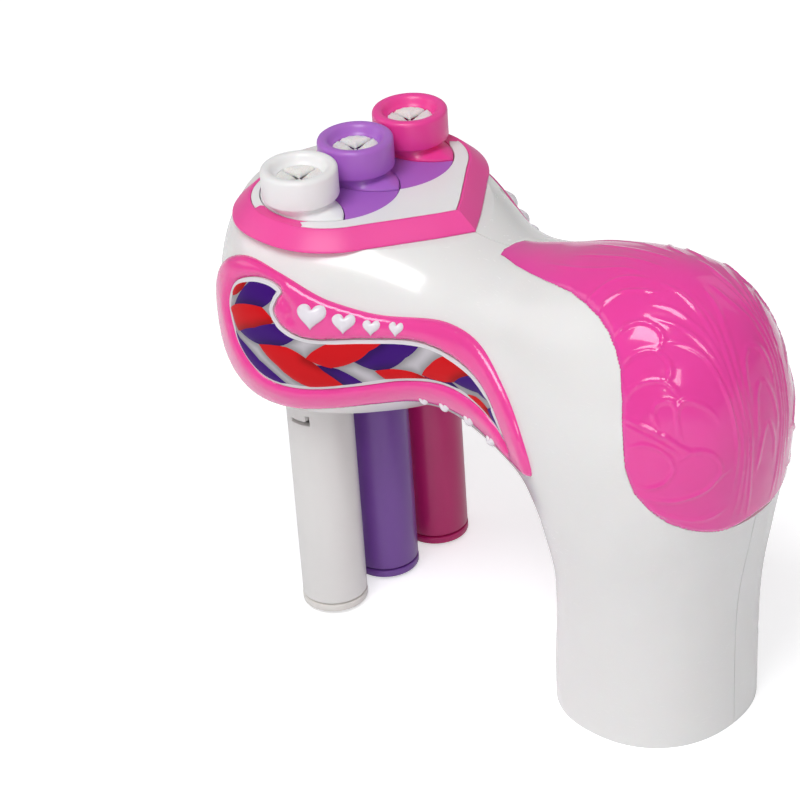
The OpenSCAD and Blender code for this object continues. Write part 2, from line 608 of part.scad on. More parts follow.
// ---------------------------------------------------------------- batteries
box_in = 2 * cell_d + 1;
box_wall = 1.2;
box_z = 3.2;
box_h = cell_l + 6.4;
box_x = 1.2;
module battery_box() color([0.2, 0.2, 0.22]) translate([box_x, 0, 0]) difference() {
  translate([-box_in / 2 - box_wall, -box_in / 2 - box_wall, box_z])
    cube([box_in + 2 * box_wall, box_in + 2 * box_wall, box_h]);
  translate([-box_in / 2, -box_in / 2, box_z - 1]) cube([box_in, box_in, box_h - 0.4]);
}
cell_z = box_z + 1.6;
module battery_cells() color([0.25, 0.3, 0.36]) for (sx = [-1, 1], sy = [-1, 1])
  translate([box_x + sx * (cell_d / 2 + 0.15), sy * (cell_d / 2 + 0.15), cell_z]) {
    cylinder(r = cell_d / 2, h = cell_l - 1.2);
    cylinder(r = 2.8, h = cell_l);
  }
module battery_contacts() color(steel) {
  for (sy = [-1, 1]) translate([box_x, sy * (cell_d / 2 + 0.15), 0]) {
    translate([-12, -4.5, cell_z + cell_l]) cube([24, 9, 0.5]);
    translate([-12, -4.5, cell_z - 0.6]) cube([24, 9, 0.5]);
  }
}
door_t = 2.6;
module battery_door() color(white) freeform() difference() {
  intersection() {
    body_solid(wall + 0.25);
    translate([-60, -60, 0]) cube([120, 120, door_t]);
  }
  translate([0, grip_w / 2 - 7.5, -1]) cylinder(r = 1.5, h = 10, $fn = 24);
  translate([0, grip_w / 2 - 7.5, -1]) cylinder(r = 2.7, h = 2.2, $fn = 24);
}
module door_screw() color(steel) translate([0, grip_w / 2 - 7.5, 0]) {
  translate([0, 0, 0.2]) difference() {
    cylinder(r = 2.5, h = 1);
    translate([-0.3, -1.8, -0.1]) cube([0.6, 3.6, 0.5]);
  }
  translate([0, 0, 1]) cylinder(r = 1.2, h = 6);
}

// ---------------------------------------------------------------- trigger
flange_x = -grip_half + 5.7;
flange_t = 1.3;
front_x = -grip_half - 7.8;
flange_top = -58;
module trigger() color(pink) translate([0, 0, deck_height]) {
  translate([0, trigger_w / 2, 0]) rotate([90, 0, 0]) linear_extrude(trigger_w)
    polygon([[flange_x + flange_t, trigger_z + trigger_half_h], [front_x + 2.2, trigger_z + trigger_half_h],
      [front_x, trigger_z + 8], [front_x + 0.1, trigger_z + 5.2], [front_x + 2, trigger_z],
      [front_x + 3.1, trigger_z - 5], [front_x + 3.5, trigger_z - 8.4], [front_x + 4.7, trigger_z - trigger_half_h],
      [flange_x + flange_t, trigger_z - trigger_half_h]]);
  translate([flange_x, -trigger_w / 2 - 1.6, trigger_z - trigger_half_h - 1.4])
    cube([flange_t, trigger_w + 3.2, flange_top - trigger_z + trigger_half_h + 1.4]);
}
switch_x = flange_x + flange_t + trigger_travel + 0.5;
switch_z = -deck_height + box_z + box_h;
module micro_switch() color([0.12, 0.12, 0.13]) translate([0, 0, deck_height]) {
  translate([switch_x, -6.4, switch_z]) cube([6.5, 6.4, 5.8]);
  translate([switch_x - 0.4, -4, switch_z + 3]) cube([0.4, 1.6, 1.6]);
}
module trigger_spring() color(steel) translate([flange_x + flange_t, 4.2, deck_height + switch_z + 3])
  rotate([0, 90, 0]) difference() {
    cylinder(r = 2.3, h = switch_x + 3 - flange_x - flange_t);
    translate([0, 0, -1]) cylinder(r = 1.8, h = 20);
  }
lead_r = 0.7;
module switch_leads() color([0.75, 0.1, 0.1]) translate([0, 0, deck_height]) for (y = [-5, -2])
  translate([switch_x + 7.2, y, switch_z + lead_r + 0.1]) rotate([0, 90, 0]) cylinder(r = lead_r, h = 12);

left_shell();
right_shell();
shell_screws();
deck_plate();
heart_rim();
left_bezel();
right_bezel();
left_braid_panel();
right_braid_panel();
left_hearts();
right_hearts();
dome_cover();
battery_door();
door_screw();
battery_box();
battery_cells();
battery_contacts();
motor();
motor_pinion();
first_gear();
second_gear();
driver_gear();
gear_axles();
gearbox_frame();
gearbox_cover();
gearbox_screws();
track_plate();
rotor_left();
rotor_right();
white_foot();
purple_foot();
pink_foot();
white_cap();
purple_cap();
pink_cap();
white_pads();
purple_pads();
pink_pads();
white_tube();
purple_tube();
pink_tube();
white_tube_ring();
purple_tube_ring();
pink_tube_ring();
trigger();
trigger_spring();
micro_switch();
switch_leads();
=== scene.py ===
import math

import bmesh
import bpy
import numpy as np
from mathutils import Matrix, Vector
from mathutils.bvhtree import BVHTree
from mathutils.geometry import delaunay_2d_cdt
from mathutils.kdtree import KDTree


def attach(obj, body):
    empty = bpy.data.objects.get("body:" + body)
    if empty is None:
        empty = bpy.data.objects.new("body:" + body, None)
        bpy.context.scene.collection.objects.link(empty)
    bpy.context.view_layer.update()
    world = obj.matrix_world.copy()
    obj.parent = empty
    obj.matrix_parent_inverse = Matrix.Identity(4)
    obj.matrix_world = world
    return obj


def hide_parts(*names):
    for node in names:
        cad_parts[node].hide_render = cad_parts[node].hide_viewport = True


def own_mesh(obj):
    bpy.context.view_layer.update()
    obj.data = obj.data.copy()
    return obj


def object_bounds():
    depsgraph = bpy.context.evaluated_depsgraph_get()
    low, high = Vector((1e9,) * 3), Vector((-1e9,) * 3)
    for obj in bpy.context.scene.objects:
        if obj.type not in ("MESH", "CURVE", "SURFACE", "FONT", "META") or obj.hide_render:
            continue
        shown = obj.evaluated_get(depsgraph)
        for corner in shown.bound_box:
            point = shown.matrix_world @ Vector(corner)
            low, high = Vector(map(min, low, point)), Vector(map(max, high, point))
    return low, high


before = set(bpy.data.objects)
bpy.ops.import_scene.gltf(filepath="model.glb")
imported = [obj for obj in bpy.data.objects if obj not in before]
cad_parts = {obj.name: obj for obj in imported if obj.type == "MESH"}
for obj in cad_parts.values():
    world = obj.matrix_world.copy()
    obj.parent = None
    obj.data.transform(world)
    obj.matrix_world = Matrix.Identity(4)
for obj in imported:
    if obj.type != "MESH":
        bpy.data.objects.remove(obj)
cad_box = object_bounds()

# ---------------------------------------------------------------- housing
# Two halves moulded in glossy white ABS, parted on the middle plane and joined by five screws
# from the right. One swept skin makes head casing, neck, round back and grip; the casing is
# open below, where the three tubes hang. Lengths here are in mm, z of the trim from the deck.
DECK_Z = 122.0
ROW_X = -96.0
NOSE = 33.0
GRIP_HALF = 25.25
ROTOR_Y = 10.5
WALL = 2.2
RIM_DROP = 4.6
HEAD_HALF_W, NECK_HALF_W, BULB_HALF_W, GRIP_W = 42.0, 25.0, 32.0, 51.0


def nose_station(k):
    turn = math.radians(4 + 86 * k / 6)
    x = ROW_X - NOSE * math.cos(turn)
    top = 4.5 - 13 * math.cos(turn) ** 4
    return [x, -66 + 1.5 * k / 6, x, top, HEAD_HALF_W * math.sin(turn) ** 0.95, 2.45]


# Each station: belly x, belly z, back x, back z, half width, roundness of the section
STATIONS = np.array([nose_station(k) for k in range(7)] + [
    [ROW_X + 9, -63, ROW_X + 9, 4, HEAD_HALF_W - 1, 2.45],
    [ROW_X + 18, -60.5, ROW_X + 19, 2.5, (HEAD_HALF_W * 11 + NECK_HALF_W * 4) / 15, 2.4],
    [ROW_X + 27, -56.5, ROW_X + 30, -1, (HEAD_HALF_W * 7 + NECK_HALF_W * 9) / 16, 2.35],
    [ROW_X + 36, -52.6, ROW_X + 41, -RIM_DROP, NECK_HALF_W + 3, 2.3],
    [ROW_X + 45, -53.6, ROW_X + 53, -RIM_DROP - 0.15, NECK_HALF_W + 0.5, 2.2],
    [-42.5, -58, -30, -2, NECK_HALF_W, 2.15],
    [-35, -62, -15, 2.5, (2 * NECK_HALF_W + BULB_HALF_W) / 3 - 0.3, 2.1],
    [-GRIP_HALF - 3.8, -66.5, 1, 5.5, BULB_HALF_W - 2, 2],
    [-GRIP_HALF + 0.2, -73.5, 16, 4, BULB_HALF_W, 2],
    [-GRIP_HALF + 1.7, -82, 28.5, -6, BULB_HALF_W, 2],
    [-GRIP_HALF + 1.9, -89, 35.5, -24, (GRIP_W + 10) / 2, 2],
    [-GRIP_HALF + 1.5, -96, 35, -42, (GRIP_W + 6.6) / 2, 2.05],
    [-GRIP_HALF + 0.9, -104, GRIP_HALF + 5.7, -62, (GRIP_W + 3) / 2, 2.1],
    [-GRIP_HALF + 0.5, -112, GRIP_HALF + 1.2, -86, (GRIP_W + 1) / 2, 2.2],
    [-GRIP_HALF, -DECK_Z, GRIP_HALF, -DECK_Z, GRIP_W / 2, 2.2]])
LAST = len(STATIONS) - 1


def curve_at(points, t, closed=False):
    """A point of the smooth curve through the given points."""
    n = len(points)
    i = int(min(math.floor(t), n - 1 if closed else n - 2))
    u = t - i
    pick = (lambda k: points[k % n]) if closed else (lambda k: points[max(0, min(n - 1, k))])
    a, b, c, d = (np.asarray(pick(k), float) for k in (i - 1, i, i + 1, i + 2))
    return 0.5 * (2 * b + (c - a) * u + (2 * a - 5 * b + 4 * c - d) * u ** 2
                  + (3 * b - a - 3 * c + d) * u ** 3)


def skin_ring(t, inset, turn):
    """The points of the housing's section at station t, moved inward by inset."""
    s = curve_at(STATIONS, t)
    belly, back = np.array([s[0], s[1]]), np.array([s[2], s[3]])
    length = np.linalg.norm(back - belly)
    along, middle = (back - belly) / length, (back + belly) / 2
    front = max(0.0, 1 - s[4] / HEAD_HALF_W) if inset > 0 and s[0] < ROW_X else 0.0
    width, power = max(0.6, s[4] - inset), 2 / s[5]
    c = np.sign(np.cos(turn)) * np.abs(np.cos(turn)) ** power * (length / 2 - inset)
    w = np.sign(np.sin(turn)) * np.abs(np.sin(turn)) ** power * width
    x = middle[0] + along[0] * c + inset * front
    return np.column_stack([x, w, middle[1] + along[1] * c + DECK_Z])


def tube_faces(rows, count, closed=False):
    """Quads between rows of points, with the ends capped or joined."""
    faces = [[r * count + k, r * count + (k + 1) % count,
              ((r + 1) % rows) * count + (k + 1) % count, ((r + 1) % rows) * count + k]
             for r in range(rows if closed else rows - 1) for k in range(count)]
    if not closed:
        faces += [list(range(count))[::-1], list(range((rows - 1) * count, rows * count))]
    return faces


def solid(name, points, faces):
    """A closed mesh in mm whose faces look outward."""
    mesh = bpy.data.meshes.new(name)
    mesh.from_pydata([tuple(p) for p in points], [], [tuple(int(i) for i in f) for f in faces])
    work = bmesh.new()
    work.from_mesh(mesh)
    bmesh.ops.recalc_face_normals(work, faces=work.faces)
    work.to_mesh(mesh)
    work.free()
    made = bpy.data.objects.new(name, mesh)
    bpy.context.scene.collection.objects.link(made)
    return made


def skin(name, inset=0.0, per_station=8, count=128, first=0, last=LAST):
    """The solid inside the housing's skin, moved inward by inset."""
    steps = np.linspace(first, last, (last - first) * per_station + 1)
    rows = [skin_ring(t, inset, 2 * np.pi * np.arange(count) / count) for t in steps]
    if inset > 0 and last == LAST:
        rows.append(rows[-1] - [0, 0, 1])
    return solid(name, np.vstack(rows), tube_faces(len(rows), count))


def grown(outline, width):
    """A closed outline moved outward, with mitred corners."""
    p = np.asarray(outline, float)
    ahead = np.roll(p, -1, 0) - p
    ahead = ahead / np.linalg.norm(ahead, axis=1)[:, None]
    out = np.column_stack([ahead[:, 1], -ahead[:, 0]])
    both = out + np.roll(out, 1, 0)
    return p + width * both * 2 / (both ** 2).sum(1)[:, None]


def across(name, outline, low=-200.0, high=200.0):
    """A prism across the housing, from an outline in side view (x, z from the deck)."""
    n = len(outline)
    points = [(x, y, z + DECK_Z) for y in (low, high) for x, z in outline]
    return solid(name, points, tube_faces(2, n))


def box(name, low, high):
    return across(name, [(low[0], low[2]), (high[0], low[2]), (high[0], high[2]), (low[0], high[2])],
                  low[1], high[1])


def turned(name, profile, x=0.0, y=0.0, count=96):
    """A ring or disc turned from a closed profile of (radius, z from the deck)."""
    turn = 2 * np.pi * np.arange(count) / count
    rows = [np.column_stack([x + r * np.cos(turn), y + r * np.sin(turn), np.full(count, z + DECK_Z)])
            for r, z in profile]
    return solid(name, np.vstack(rows), tube_faces(len(rows), count, closed=profile[0][0] > 0.001))


def drum(name, radius, low, high, x=0.0, y=0.0, count=96):
    """A plain round cutter between two levels."""
    turn = 2 * np.pi * np.arange(count) / count
    rows = [np.column_stack([x + radius * np.cos(turn), y + radius * np.sin(turn),
                             np.full(count, z + DECK_Z)]) for z in (low, high)]
    return solid(name, np.vstack(rows), tube_faces(2, count))


PIN_SIDES = 40


def cross_pin(name, radius, x, z, low, high):
    """A round cutter or boss that runs across the housing."""
    turn = 2 * np.pi * np.arange(PIN_SIDES) / PIN_SIDES
    rows = [np.column_stack([x + radius * np.cos(turn), np.full(PIN_SIDES, y),
                             z + radius * np.sin(turn) + DECK_Z]) for y in (low, high)]
    return solid(name, np.vstack(rows), tube_faces(2, PIN_SIDES))


def carve(body, tool, how="DIFFERENCE"):
    """Cuts, joins or keeps what a tool covers, and removes the tool."""
    cut = body.modifiers.new("cut", "BOOLEAN")
    cut.operation, cut.solver, cut.object = how, "MANIFOLD", tool
    bpy.context.view_layer.update()
    made = body.evaluated_get(bpy.context.evaluated_depsgraph_get())
    mesh = bpy.data.meshes.new_from_object(made)
    body.modifiers.clear()
    body.data = mesh
    bpy.data.objects.remove(tool)
    return body


def twin(body, name):
    """A second object with its own copy of the mesh."""
    made = body.copy()
    made.data = body.data.copy()
    made.name = name
    bpy.context.scene.collection.objects.link(made)
    return made


def seat(piece, body, materials, nodes, sharp=35):
    """Puts a finished piece at its real size on its body, in place of its CAD nodes."""
    mesh = piece.data
    mesh.transform(Matrix.Scale(0.001, 4))
    points = np.zeros(len(mesh.vertices) * 3)
    mesh.vertices.foreach_get("co", points)
    low, high = (np.array(corner) for corner in cad_box)
    mesh.vertices.foreach_set("co", np.clip(points.reshape(-1, 3), low, high).ravel())
    mesh.materials.clear()
    for material in materials:
        mesh.materials.append(material)
    mesh.shade_smooth()
    mesh.set_sharp_from_angle(angle=math.radians(sharp))
    mesh.update()
    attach(piece, body)
    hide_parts(*nodes)
    return piece


def paint(red, green, blue):
    """A colour written as it looks, 0 to 255."""
    return tuple((v / 255 / 12.92 if v < 10.3 else ((v / 255 + 0.055) / 1.055) ** 2.4)
                 for v in (red, green, blue)) + (1.0,)


def effect(name, inputs, outputs):
    """An empty node group with named sockets."""
    group = bpy.data.node_groups.new(name, "ShaderNodeTree")
    for label, value in inputs:
        socket = group.interface.new_socket(label, in_out="INPUT", socket_type="NodeSocketFloat")
        socket.default_value = value
    for label, kind in outputs:
        group.interface.new_socket(label, in_out="OUTPUT", socket_type="NodeSocket" + kind)
    return group, group.nodes.new("NodeGroupInput"), group.nodes.new("NodeGroupOutput")


def node(tree, kind, **values):
    """A shader node with its inputs set or linked, by name or number."""
    made = tree.nodes.new("ShaderNode" + kind)
    for key, value in values.items():
        key = key.replace("_", " ")
        if key.startswith("in"):
            socket = made.inputs[int(key[2:])]
        elif key.title() in made.inputs:
            socket = made.inputs[key.title()]
        else:
            setattr(made, key.replace(" ", "_"), value)
            continue
        if isinstance(value, bpy.types.NodeSocket):
            tree.links.new(value, socket)
        else:
            socket.default_value = value
    return made


# Moulded skin: the slight orange peel, cloudiness and rounded arrises of moulded plastic
moulded_skin, inside, outside = effect(
    "moulded_skin", [("Peel Scale", 700.0), ("Peel Depth", 0.00002), ("Roughness", 0.2),
                     ("Cloud", 0.06), ("Arris", 0.0002)],
    [("Shade", "Float"), ("Roughness", "Float"), ("Normal", "Vector")])
place = node(moulded_skin, "TexCoord").outputs["Object"]
peel = node(moulded_skin, "TexNoise", vector=place, scale=inside.outputs["Peel Scale"], detail=3.0)
cloud = node(moulded_skin, "TexNoise", vector=place, scale=38.0, detail=4.0)
fine = node(moulded_skin, "Mapping", vector=place, scale=(1.0, 1.0, 14.0), rotation=(0.4, 0.7, 0.2))
scratches = node(moulded_skin, "TexNoise", vector=fine.outputs[0], scale=420.0, detail=2.0)
thin = node(moulded_skin, "MapRange", value=scratches.outputs[0], in1=0.66, in2=0.74, in3=0.0,
            in4=0.35)
spread = node(moulded_skin, "Math", operation="SUBTRACT", in0=cloud.outputs[0], in1=0.5)
marks = node(moulded_skin, "Math", operation="ADD", in0=spread.outputs[0], in1=thin.outputs[0])
mixed = node(moulded_skin, "Math", operation="MULTIPLY_ADD", in0=marks.outputs[0],
             in1=inside.outputs["Cloud"], in2=inside.outputs["Roughness"])
arris = node(moulded_skin, "Bevel", samples=6, radius=inside.outputs["Arris"])
relief = node(moulded_skin, "Bump", height=peel.outputs[0], distance=inside.outputs["Peel Depth"],
              normal=arris.outputs[0], strength=0.6)
moulded_skin.links.new(cloud.outputs[0], outside.inputs["Shade"])
moulded_skin.links.new(mixed.outputs[0], outside.inputs["Roughness"])
moulded_skin.links.new(relief.outputs[0], outside.inputs["Normal"])


def moulded(name, colour, deeper, roughness, peel_scale=700.0, peel_depth=0.00002, cloud=0.06,
            arris=0.0002, **gloss):
    """A moulded plastic: its colour, a deeper tone of it, its roughness and its gloss."""
    material = bpy.data.materials.new(name)
    material.use_nodes = True
    tree = material.node_tree
    shader = tree.nodes["Principled BSDF"]
    surface = tree.nodes.new("ShaderNodeGroup")
    surface.node_tree = moulded_skin
    for label, value in (("Peel Scale", peel_scale), ("Peel Depth", peel_depth),
                         ("Roughness", roughness), ("Cloud", cloud), ("Arris", arris)):
        surface.inputs[label].default_value = value
    tone = node(tree, "Mix", data_type="RGBA", in0=surface.outputs["Shade"], in6=colour, in7=deeper)
    tree.links.new(tone.outputs[2], shader.inputs["Base Color"])
    tree.links.new(surface.outputs["Roughness"], shader.inputs["Roughness"])
    tree.links.new(surface.outputs["Normal"], shader.inputs["Normal"])
    for label, value in gloss.items():
        shader.inputs[label.replace("_", " ").title().replace("Ior", "IOR")].default_value = value
    return material


white_gloss = moulded("white_gloss", paint(245, 243, 242), paint(239, 237, 236), 0.26,
                      coat_weight=0.35, coat_roughness=0.08, subsurface_weight=0.06,
                      subsurface_scale=0.004)

SCREWS = [(ROW_X + 26, -10.2), (ROW_X + 46, -46), (-32, -54), (GRIP_HALF - 5, -DECK_Z + 20),
          (24, -33)]
DOME_EDGE = [(-44.6, -4.1), (-44.5, -4.6), (-44, -4.95), (-43, -5.1), (-40, -4.85), (-35.5, -4.4),
             (-28.6, -3.5), (-18.6, -1.8), (-11.5, -1.05), (-5.3, -1.2), (0.1, -2.2), (4.6, -3.9),
             (8.2, -6.6), (11, -10.5), (13.1, -17.3), (14.5, -26.3), (15.4, -34.3), (17.2, -40.3),
             (20.5, -45), (23.6, -48.7), (27.3, -51.9), (30.4, -54.4), (34, -56), (60, -56), (60, 30),
             (-44.6, 30)]
MOUTH = [(ROW_X - 80, -59.5), (ROW_X - NOSE, -55.5), (ROW_X + 35, -52), (ROW_X + 35, -90),
         (ROW_X - 80, -90)]
BOSS_R = 2.7
WELL_R = 2.3

housing = skin("housing")
carve(housing, skin("hollow", WALL, 6, 96))
carve(housing, across("dome_window", grown(DOME_EDGE, 0.1)))
ledge = skin("ledge", 1.8, 6, 96, 9, 19)
carve(ledge, skin("ledge_hollow", 3.4, 6, 96, 8, 20))
carve(ledge, across("ledge_outline", grown(DOME_EDGE, 3.5)), "INTERSECT")
carve(housing, ledge, "UNION")
shelf = box("shelf", (ROW_X - NOSE - 5, -60, -RIM_DROP - 2), (ROW_X + 7, 60, -RIM_DROP + 0.5))
carve(shelf, skin("shelf_skin", WALL - 0.6, 6, 96), "INTERSECT")
carve(housing, shelf, "UNION")
bosses = [cross_pin("boss", BOSS_R, x, z, -60, 60) for x, z in SCREWS]
for boss in bosses:
    carve(boss, skin("boss_skin", WALL - 0.5, 4, 64), "INTERSECT")
    carve(housing, boss, "UNION")
carve(housing, across("mouth", MOUTH))
carve(housing, box("deck_seat", (ROW_X - 100, -100, -RIM_DROP), (ROW_X + 46, 100, 60)))
for side in (-1, 1):
    carve(housing, drum("rotor_room", 20.2, -17, 1, ROW_X, side * ROTOR_Y))
carve(housing, box("trigger_slot", (-GRIP_HALF - 22, -6.8, -84.3), (-GRIP_HALF + 5.4, 6.8, -63.7)))
for x, z in SCREWS:
    carve(housing, cross_pin("well", WELL_R, x, z, 9, 60))
    carve(housing, cross_pin("screw_way", 1.3, x, z, -9, 12))
# The fine parting line along the middle plane
seam = skin("seam", -0.5, 6, 96)
carve(seam, skin("seam_floor", 0.28, 6, 96))
carve(seam, across("seam_slab", [(-200, -DECK_Z - 20), (200, -DECK_Z - 20), (200, 60), (-200, 60)],
                   -0.11, 0.11), "INTERSECT")
carve(housing, seam)
left_half = twin(housing, "left_half")
carve(left_half, box("right_side", (-200, 0, -200), (200, 200, 200)))
carve(housing, box("left_side", (-200, -200, -200), (200, 0, 200)))
housing.name = "right_half"
seat(left_half, "housing", [white_gloss], ["left_shell"])
seat(housing, "housing", [white_gloss], ["right_shell"])


def dress(material, *nodes):
    """Gives CAD parts that stay their own finish."""
    for name in nodes:
        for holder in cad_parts[name].material_slots:
            holder.material = material


dress(white_gloss, "battery_door")

# ---------------------------------------------------------------- dome cover
# A glossy, faintly translucent pink cover over the round back, moulded with raised flowing
# lines: a bundle of stems down the back, petals, a sprig and sweeping arcs on both sides. It
# snaps into the window of the housing and rolls over at its edge.
COVER_EDGE = np.array(DOME_EDGE)
COVER_PROUD = 0.5
EDGE_ROLL = 1.5
TRAIL_STEPS = 60
LINE_REACH = 2.2
# Each flowing line: height, half width, then its points (x, y of the left side, z from the deck)
FLOW = [
    (0.36, 0.5, [(10, -13.4, 2.6), (15.9, -10.8, 1.8), (21.2, -9.8, -1), (24.7, -9, -3.7),
        (28.9, -8.9, -9.2), (32.3, -9, -16.9), (34.5, -8.6, -24.3), (35.1, -8.4, -31),
        (34.5, -8.6, -41), (32.4, -10, -51.4)]),
    (0.36, 0.45, [(15.3, -4.6, 4.4), (21.8, -5.4, 0.5), (25.6, -6, -3.3), (28.5, -6.9, -7.3),
        (31.4, -7.5, -13.4), (33.6, -7.4, -20), (35.2, -7.2, -28), (35.2, -7.1, -37),
        (34.3, -7.1, -44), (32.6, -7.6, -52.8)]),
    (0.31, 0.45, [(25.5, -2.6, -2.6), (28.3, -4.6, -6.6), (31.4, -5.9, -13), (34, -6.1, -20.4),
        (35.4, -6, -29), (35.1, -5.7, -39), (33.8, -5.1, -48), (32.2, -4.6, -54)]),
    (0.3, 0.5, [(18, -1.3, 4.1), (22, -2, 1.2), (25.5, -3.5, -2.6), (28.6, -5.7, -7.2)]),
    (0.33, 0.55, [(34.2, -4.7, -21), (32.6, -4.4, -15.4), (30.6, -2.9, -10.4), (29.6, 0, -8.6)]),
    (0.31, 0.5, [(35.6, -4, -31.6), (34.8, -3.4, -24), (33.6, -2, -18.8), (32.8, 0, -16.8)]),
    (0.3, 0.5, [(35.2, -3.6, -40.4), (35.8, -2.6, -33.4), (35.6, -1.2, -28.8), (35.4, 0, -27.6)]),
    (0.33, 0.55, [(9, -7.2, 5.2), (15.8, -6.8, 4.1), (20.7, -7, 1.3), (24.5, -7.4, -2.1),
        (28, -8, -7)]),
    (0.41, 0.5, [(13, -15.4, 0.8), (20.1, -12.4, -1.4), (25, -10.8, -5), (29, -9.9, -10),
        (32, -9.6, -16.4)]),
    (0.31, 0.5, [(-5.6, -17.4, -2), (-2.8, -12, 2.6), (0.5, -8.9, 4.3), (7, -7.2, 5)]),
    (0.41, 0.5, [(-0.4, -19, -2.6), (0.4, -15.2, 1.1), (2.8, -12.6, 2.7), (6.6, -11, 3.5),
        (11.4, -9.2, 3.6)]),
    (0.22, 0.45, [(-26, -7, -1.2), (-17, -8.6, 1.4), (-9, -8.2, 3.6), (-2, -6.4, 5), (4, -6, 5.4)]),
    (0.2, 0.45, [(-20, -3.6, 1.8), (-10, -2.8, 4.4), (0, -2.2, 5.9), (8, -2.4, 6)]),
    (0.47, 0.45, [(6.8, -22.6, -6.8), (8.2, -19.3, -2.4), (11.1, -16.8, -0.8), (14.7, -15.8, -1.2),
        (17.3, -16, -3), (17.8, -17.7, -5), (15.8, -19.7, -6.3)]),
    (0.47, 0.45, [(10.6, -25.4, -13), (12, -23, -8.4), (14.2, -20.6, -6.2), (17.6, -18.6, -5.9),
        (20.8, -18.2, -8.2), (21.6, -19.4, -11), (19.6, -21, -12.4)]),
    (0.43, 0.45, [(13.2, -27, -19.6), (14.6, -25, -14.2), (18, -22.2, -11.9), (21.8, -20, -12.3),
        (24.8, -19.2, -15.4)]),
    (0.41, 0.45, [(18, -16.6, -3.9), (22.4, -13.6, -4.9), (26.2, -11.6, -7.8), (30, -10.6, -13.6),
        (33, -10.2, -21), (34.2, -10, -31), (33.6, -11, -43)]),
    (0.48, 0.5, [(13, -28.4, -20.2), (19.4, -25.7, -22.7), (23.8, -23.3, -25.2), (26.9, -21.1, -28),
        (29.6, -18.4, -29.8)]),
    (0.39, 0.42, [(13.4, -28.6, -22), (19.2, -26.2, -24.4), (23.4, -23.8, -27),
        (26.4, -21.6, -29.8)]),
    (0.41, 0.42, [(22.6, -23.9, -24.2), (20.5, -24.1, -19.6), (21, -23, -16.6),
        (23.6, -20.9, -16.4), (25, -21, -20), (25.4, -21.8, -25)]),
    (0.41, 0.42, [(26, -20.6, -26.8), (24.6, -20.6, -20), (25.8, -19.2, -16.2), (29.4, -15.8, -18),
        (31.6, -13.2, -22.6)]),
    (0.45, 0.45, [(14.4, -29.4, -28.8), (19.4, -26.5, -27), (23.2, -24.3, -28.6),
        (25.4, -23, -32.4), (24, -24.6, -36.6), (20.7, -26.9, -38.4), (16.2, -29, -37.4)]),
    (0.39, 0.45, [(25.4, -22.8, -31.4), (28.4, -19.4, -28.9), (31.4, -16.2, -30),
        (32.8, -14.3, -34), (32.4, -14.8, -38.4)]),
    (0.45, 0.5, [(17, -28.6, -40.6), (24.3, -24.4, -42), (28.2, -20.6, -41.2), (30.7, -17.3, -39.6),
        (32.5, -14.6, -36.6), (34, -11.6, -35.4)]),
    (0.36, 0.5, [(20, -26.6, -44), (25, -23, -47), (29.4, -17.2, -48.6), (32.4, -11.4, -46.6)])]


def edge_distance(points, outline):
    """How far each point lies from a closed outline."""
    best = np.full(len(points), 1e9)
    for a, b in zip(outline, np.roll(outline, -1, 0)):
        step = b - a
        u = np.clip(((points - a) @ step) / (step @ step), 0, 1)
        best = np.minimum(best, np.linalg.norm(points - a - u[:, None] * step, axis=1))
    return best


base_skin = skin("base_skin", 0.0, 10, 160)
on_skin = BVHTree.FromObject(base_skin, bpy.context.evaluated_depsgraph_get())
trail, heights, widths = [], [], []
for height, width, line in FLOW:
    for mirror in (1, -1):
        points = [(x, y * mirror, z + DECK_Z) for x, y, z in line]
        count = TRAIL_STEPS * (len(points) - 1)
        for k in range(count + 1):
            u = k / count
            point = on_skin.find_nearest(Vector(curve_at(points, u * (len(points) - 1))))[0]
            taper = min(1.0, 5 * u + 0.05, 5 * (1 - u) + 0.05)
            trail.append(point)
            heights.append(height * taper)
            widths.append(width * (0.6 + 0.4 * taper))
lines = KDTree(len(trail))
for k, point in enumerate(trail):
    lines.insert(point, k)
lines.balance()

turns = np.radians(np.concatenate([np.linspace(-146, 146, 401), [165, 180, 195]]))
rows = [skin_ring(t, 0.0, turns) for t in np.linspace(10.4, 18.6, 261)]
grid = np.array(rows)
down = np.gradient(grid, axis=0)
around = np.roll(grid, -1, 1) - np.roll(grid, 1, 1)
outward = np.cross(around, down)
outward /= np.maximum(np.linalg.norm(outward, axis=2), 1e-9)[..., None]
flat = grid.reshape(-1, 3)
outward = outward.reshape(-1, 3)
if (outward[:, 1] * flat[:, 1]).sum() < 0:
    outward = -outward
edge = edge_distance(flat[:, [0, 2]] - [0, DECK_Z], COVER_EDGE)
roll = np.sqrt(1 - (1 - np.clip(edge / EDGE_ROLL, 0, 1)) ** 2)
back = np.clip((flat[:, 0] - 31) / 5, 0, 1)
lift = -0.35 + (COVER_PROUD + 0.35 - 0.55 * back ** 2 * (3 - 2 * back)) * roll
for k, point in enumerate(flat):
    which, away = lines.find(point)[1:]
    if away < LINE_REACH:
        lift[k] += heights[which] * roll[k] * math.exp(-(away / widths[which]) ** 2)
cover = solid("dome_cover_moulding", flat + outward * lift[:, None],
              tube_faces(len(rows), len(turns)))
carve(cover, skin("cover_hollow", 1.7, 6, 96))
carve(cover, across("cover_outline", COVER_EDGE), "INTERSECT")

pink_dome = moulded("pink_dome", paint(255, 74, 176), paint(250, 58, 162), 0.15, 400.0, 0.00001, 0.05,
                    coat_weight=0.8, coat_roughness=0.02, specular_ior_level=0.25, subsurface_weight=0.22,
                    subsurface_scale=0.006, subsurface_radius=(1.0, 0.25, 0.5))
seat(cover, "housing", [pink_dome], ["dome_cover"], sharp=50)
bpy.data.objects.remove(base_skin)

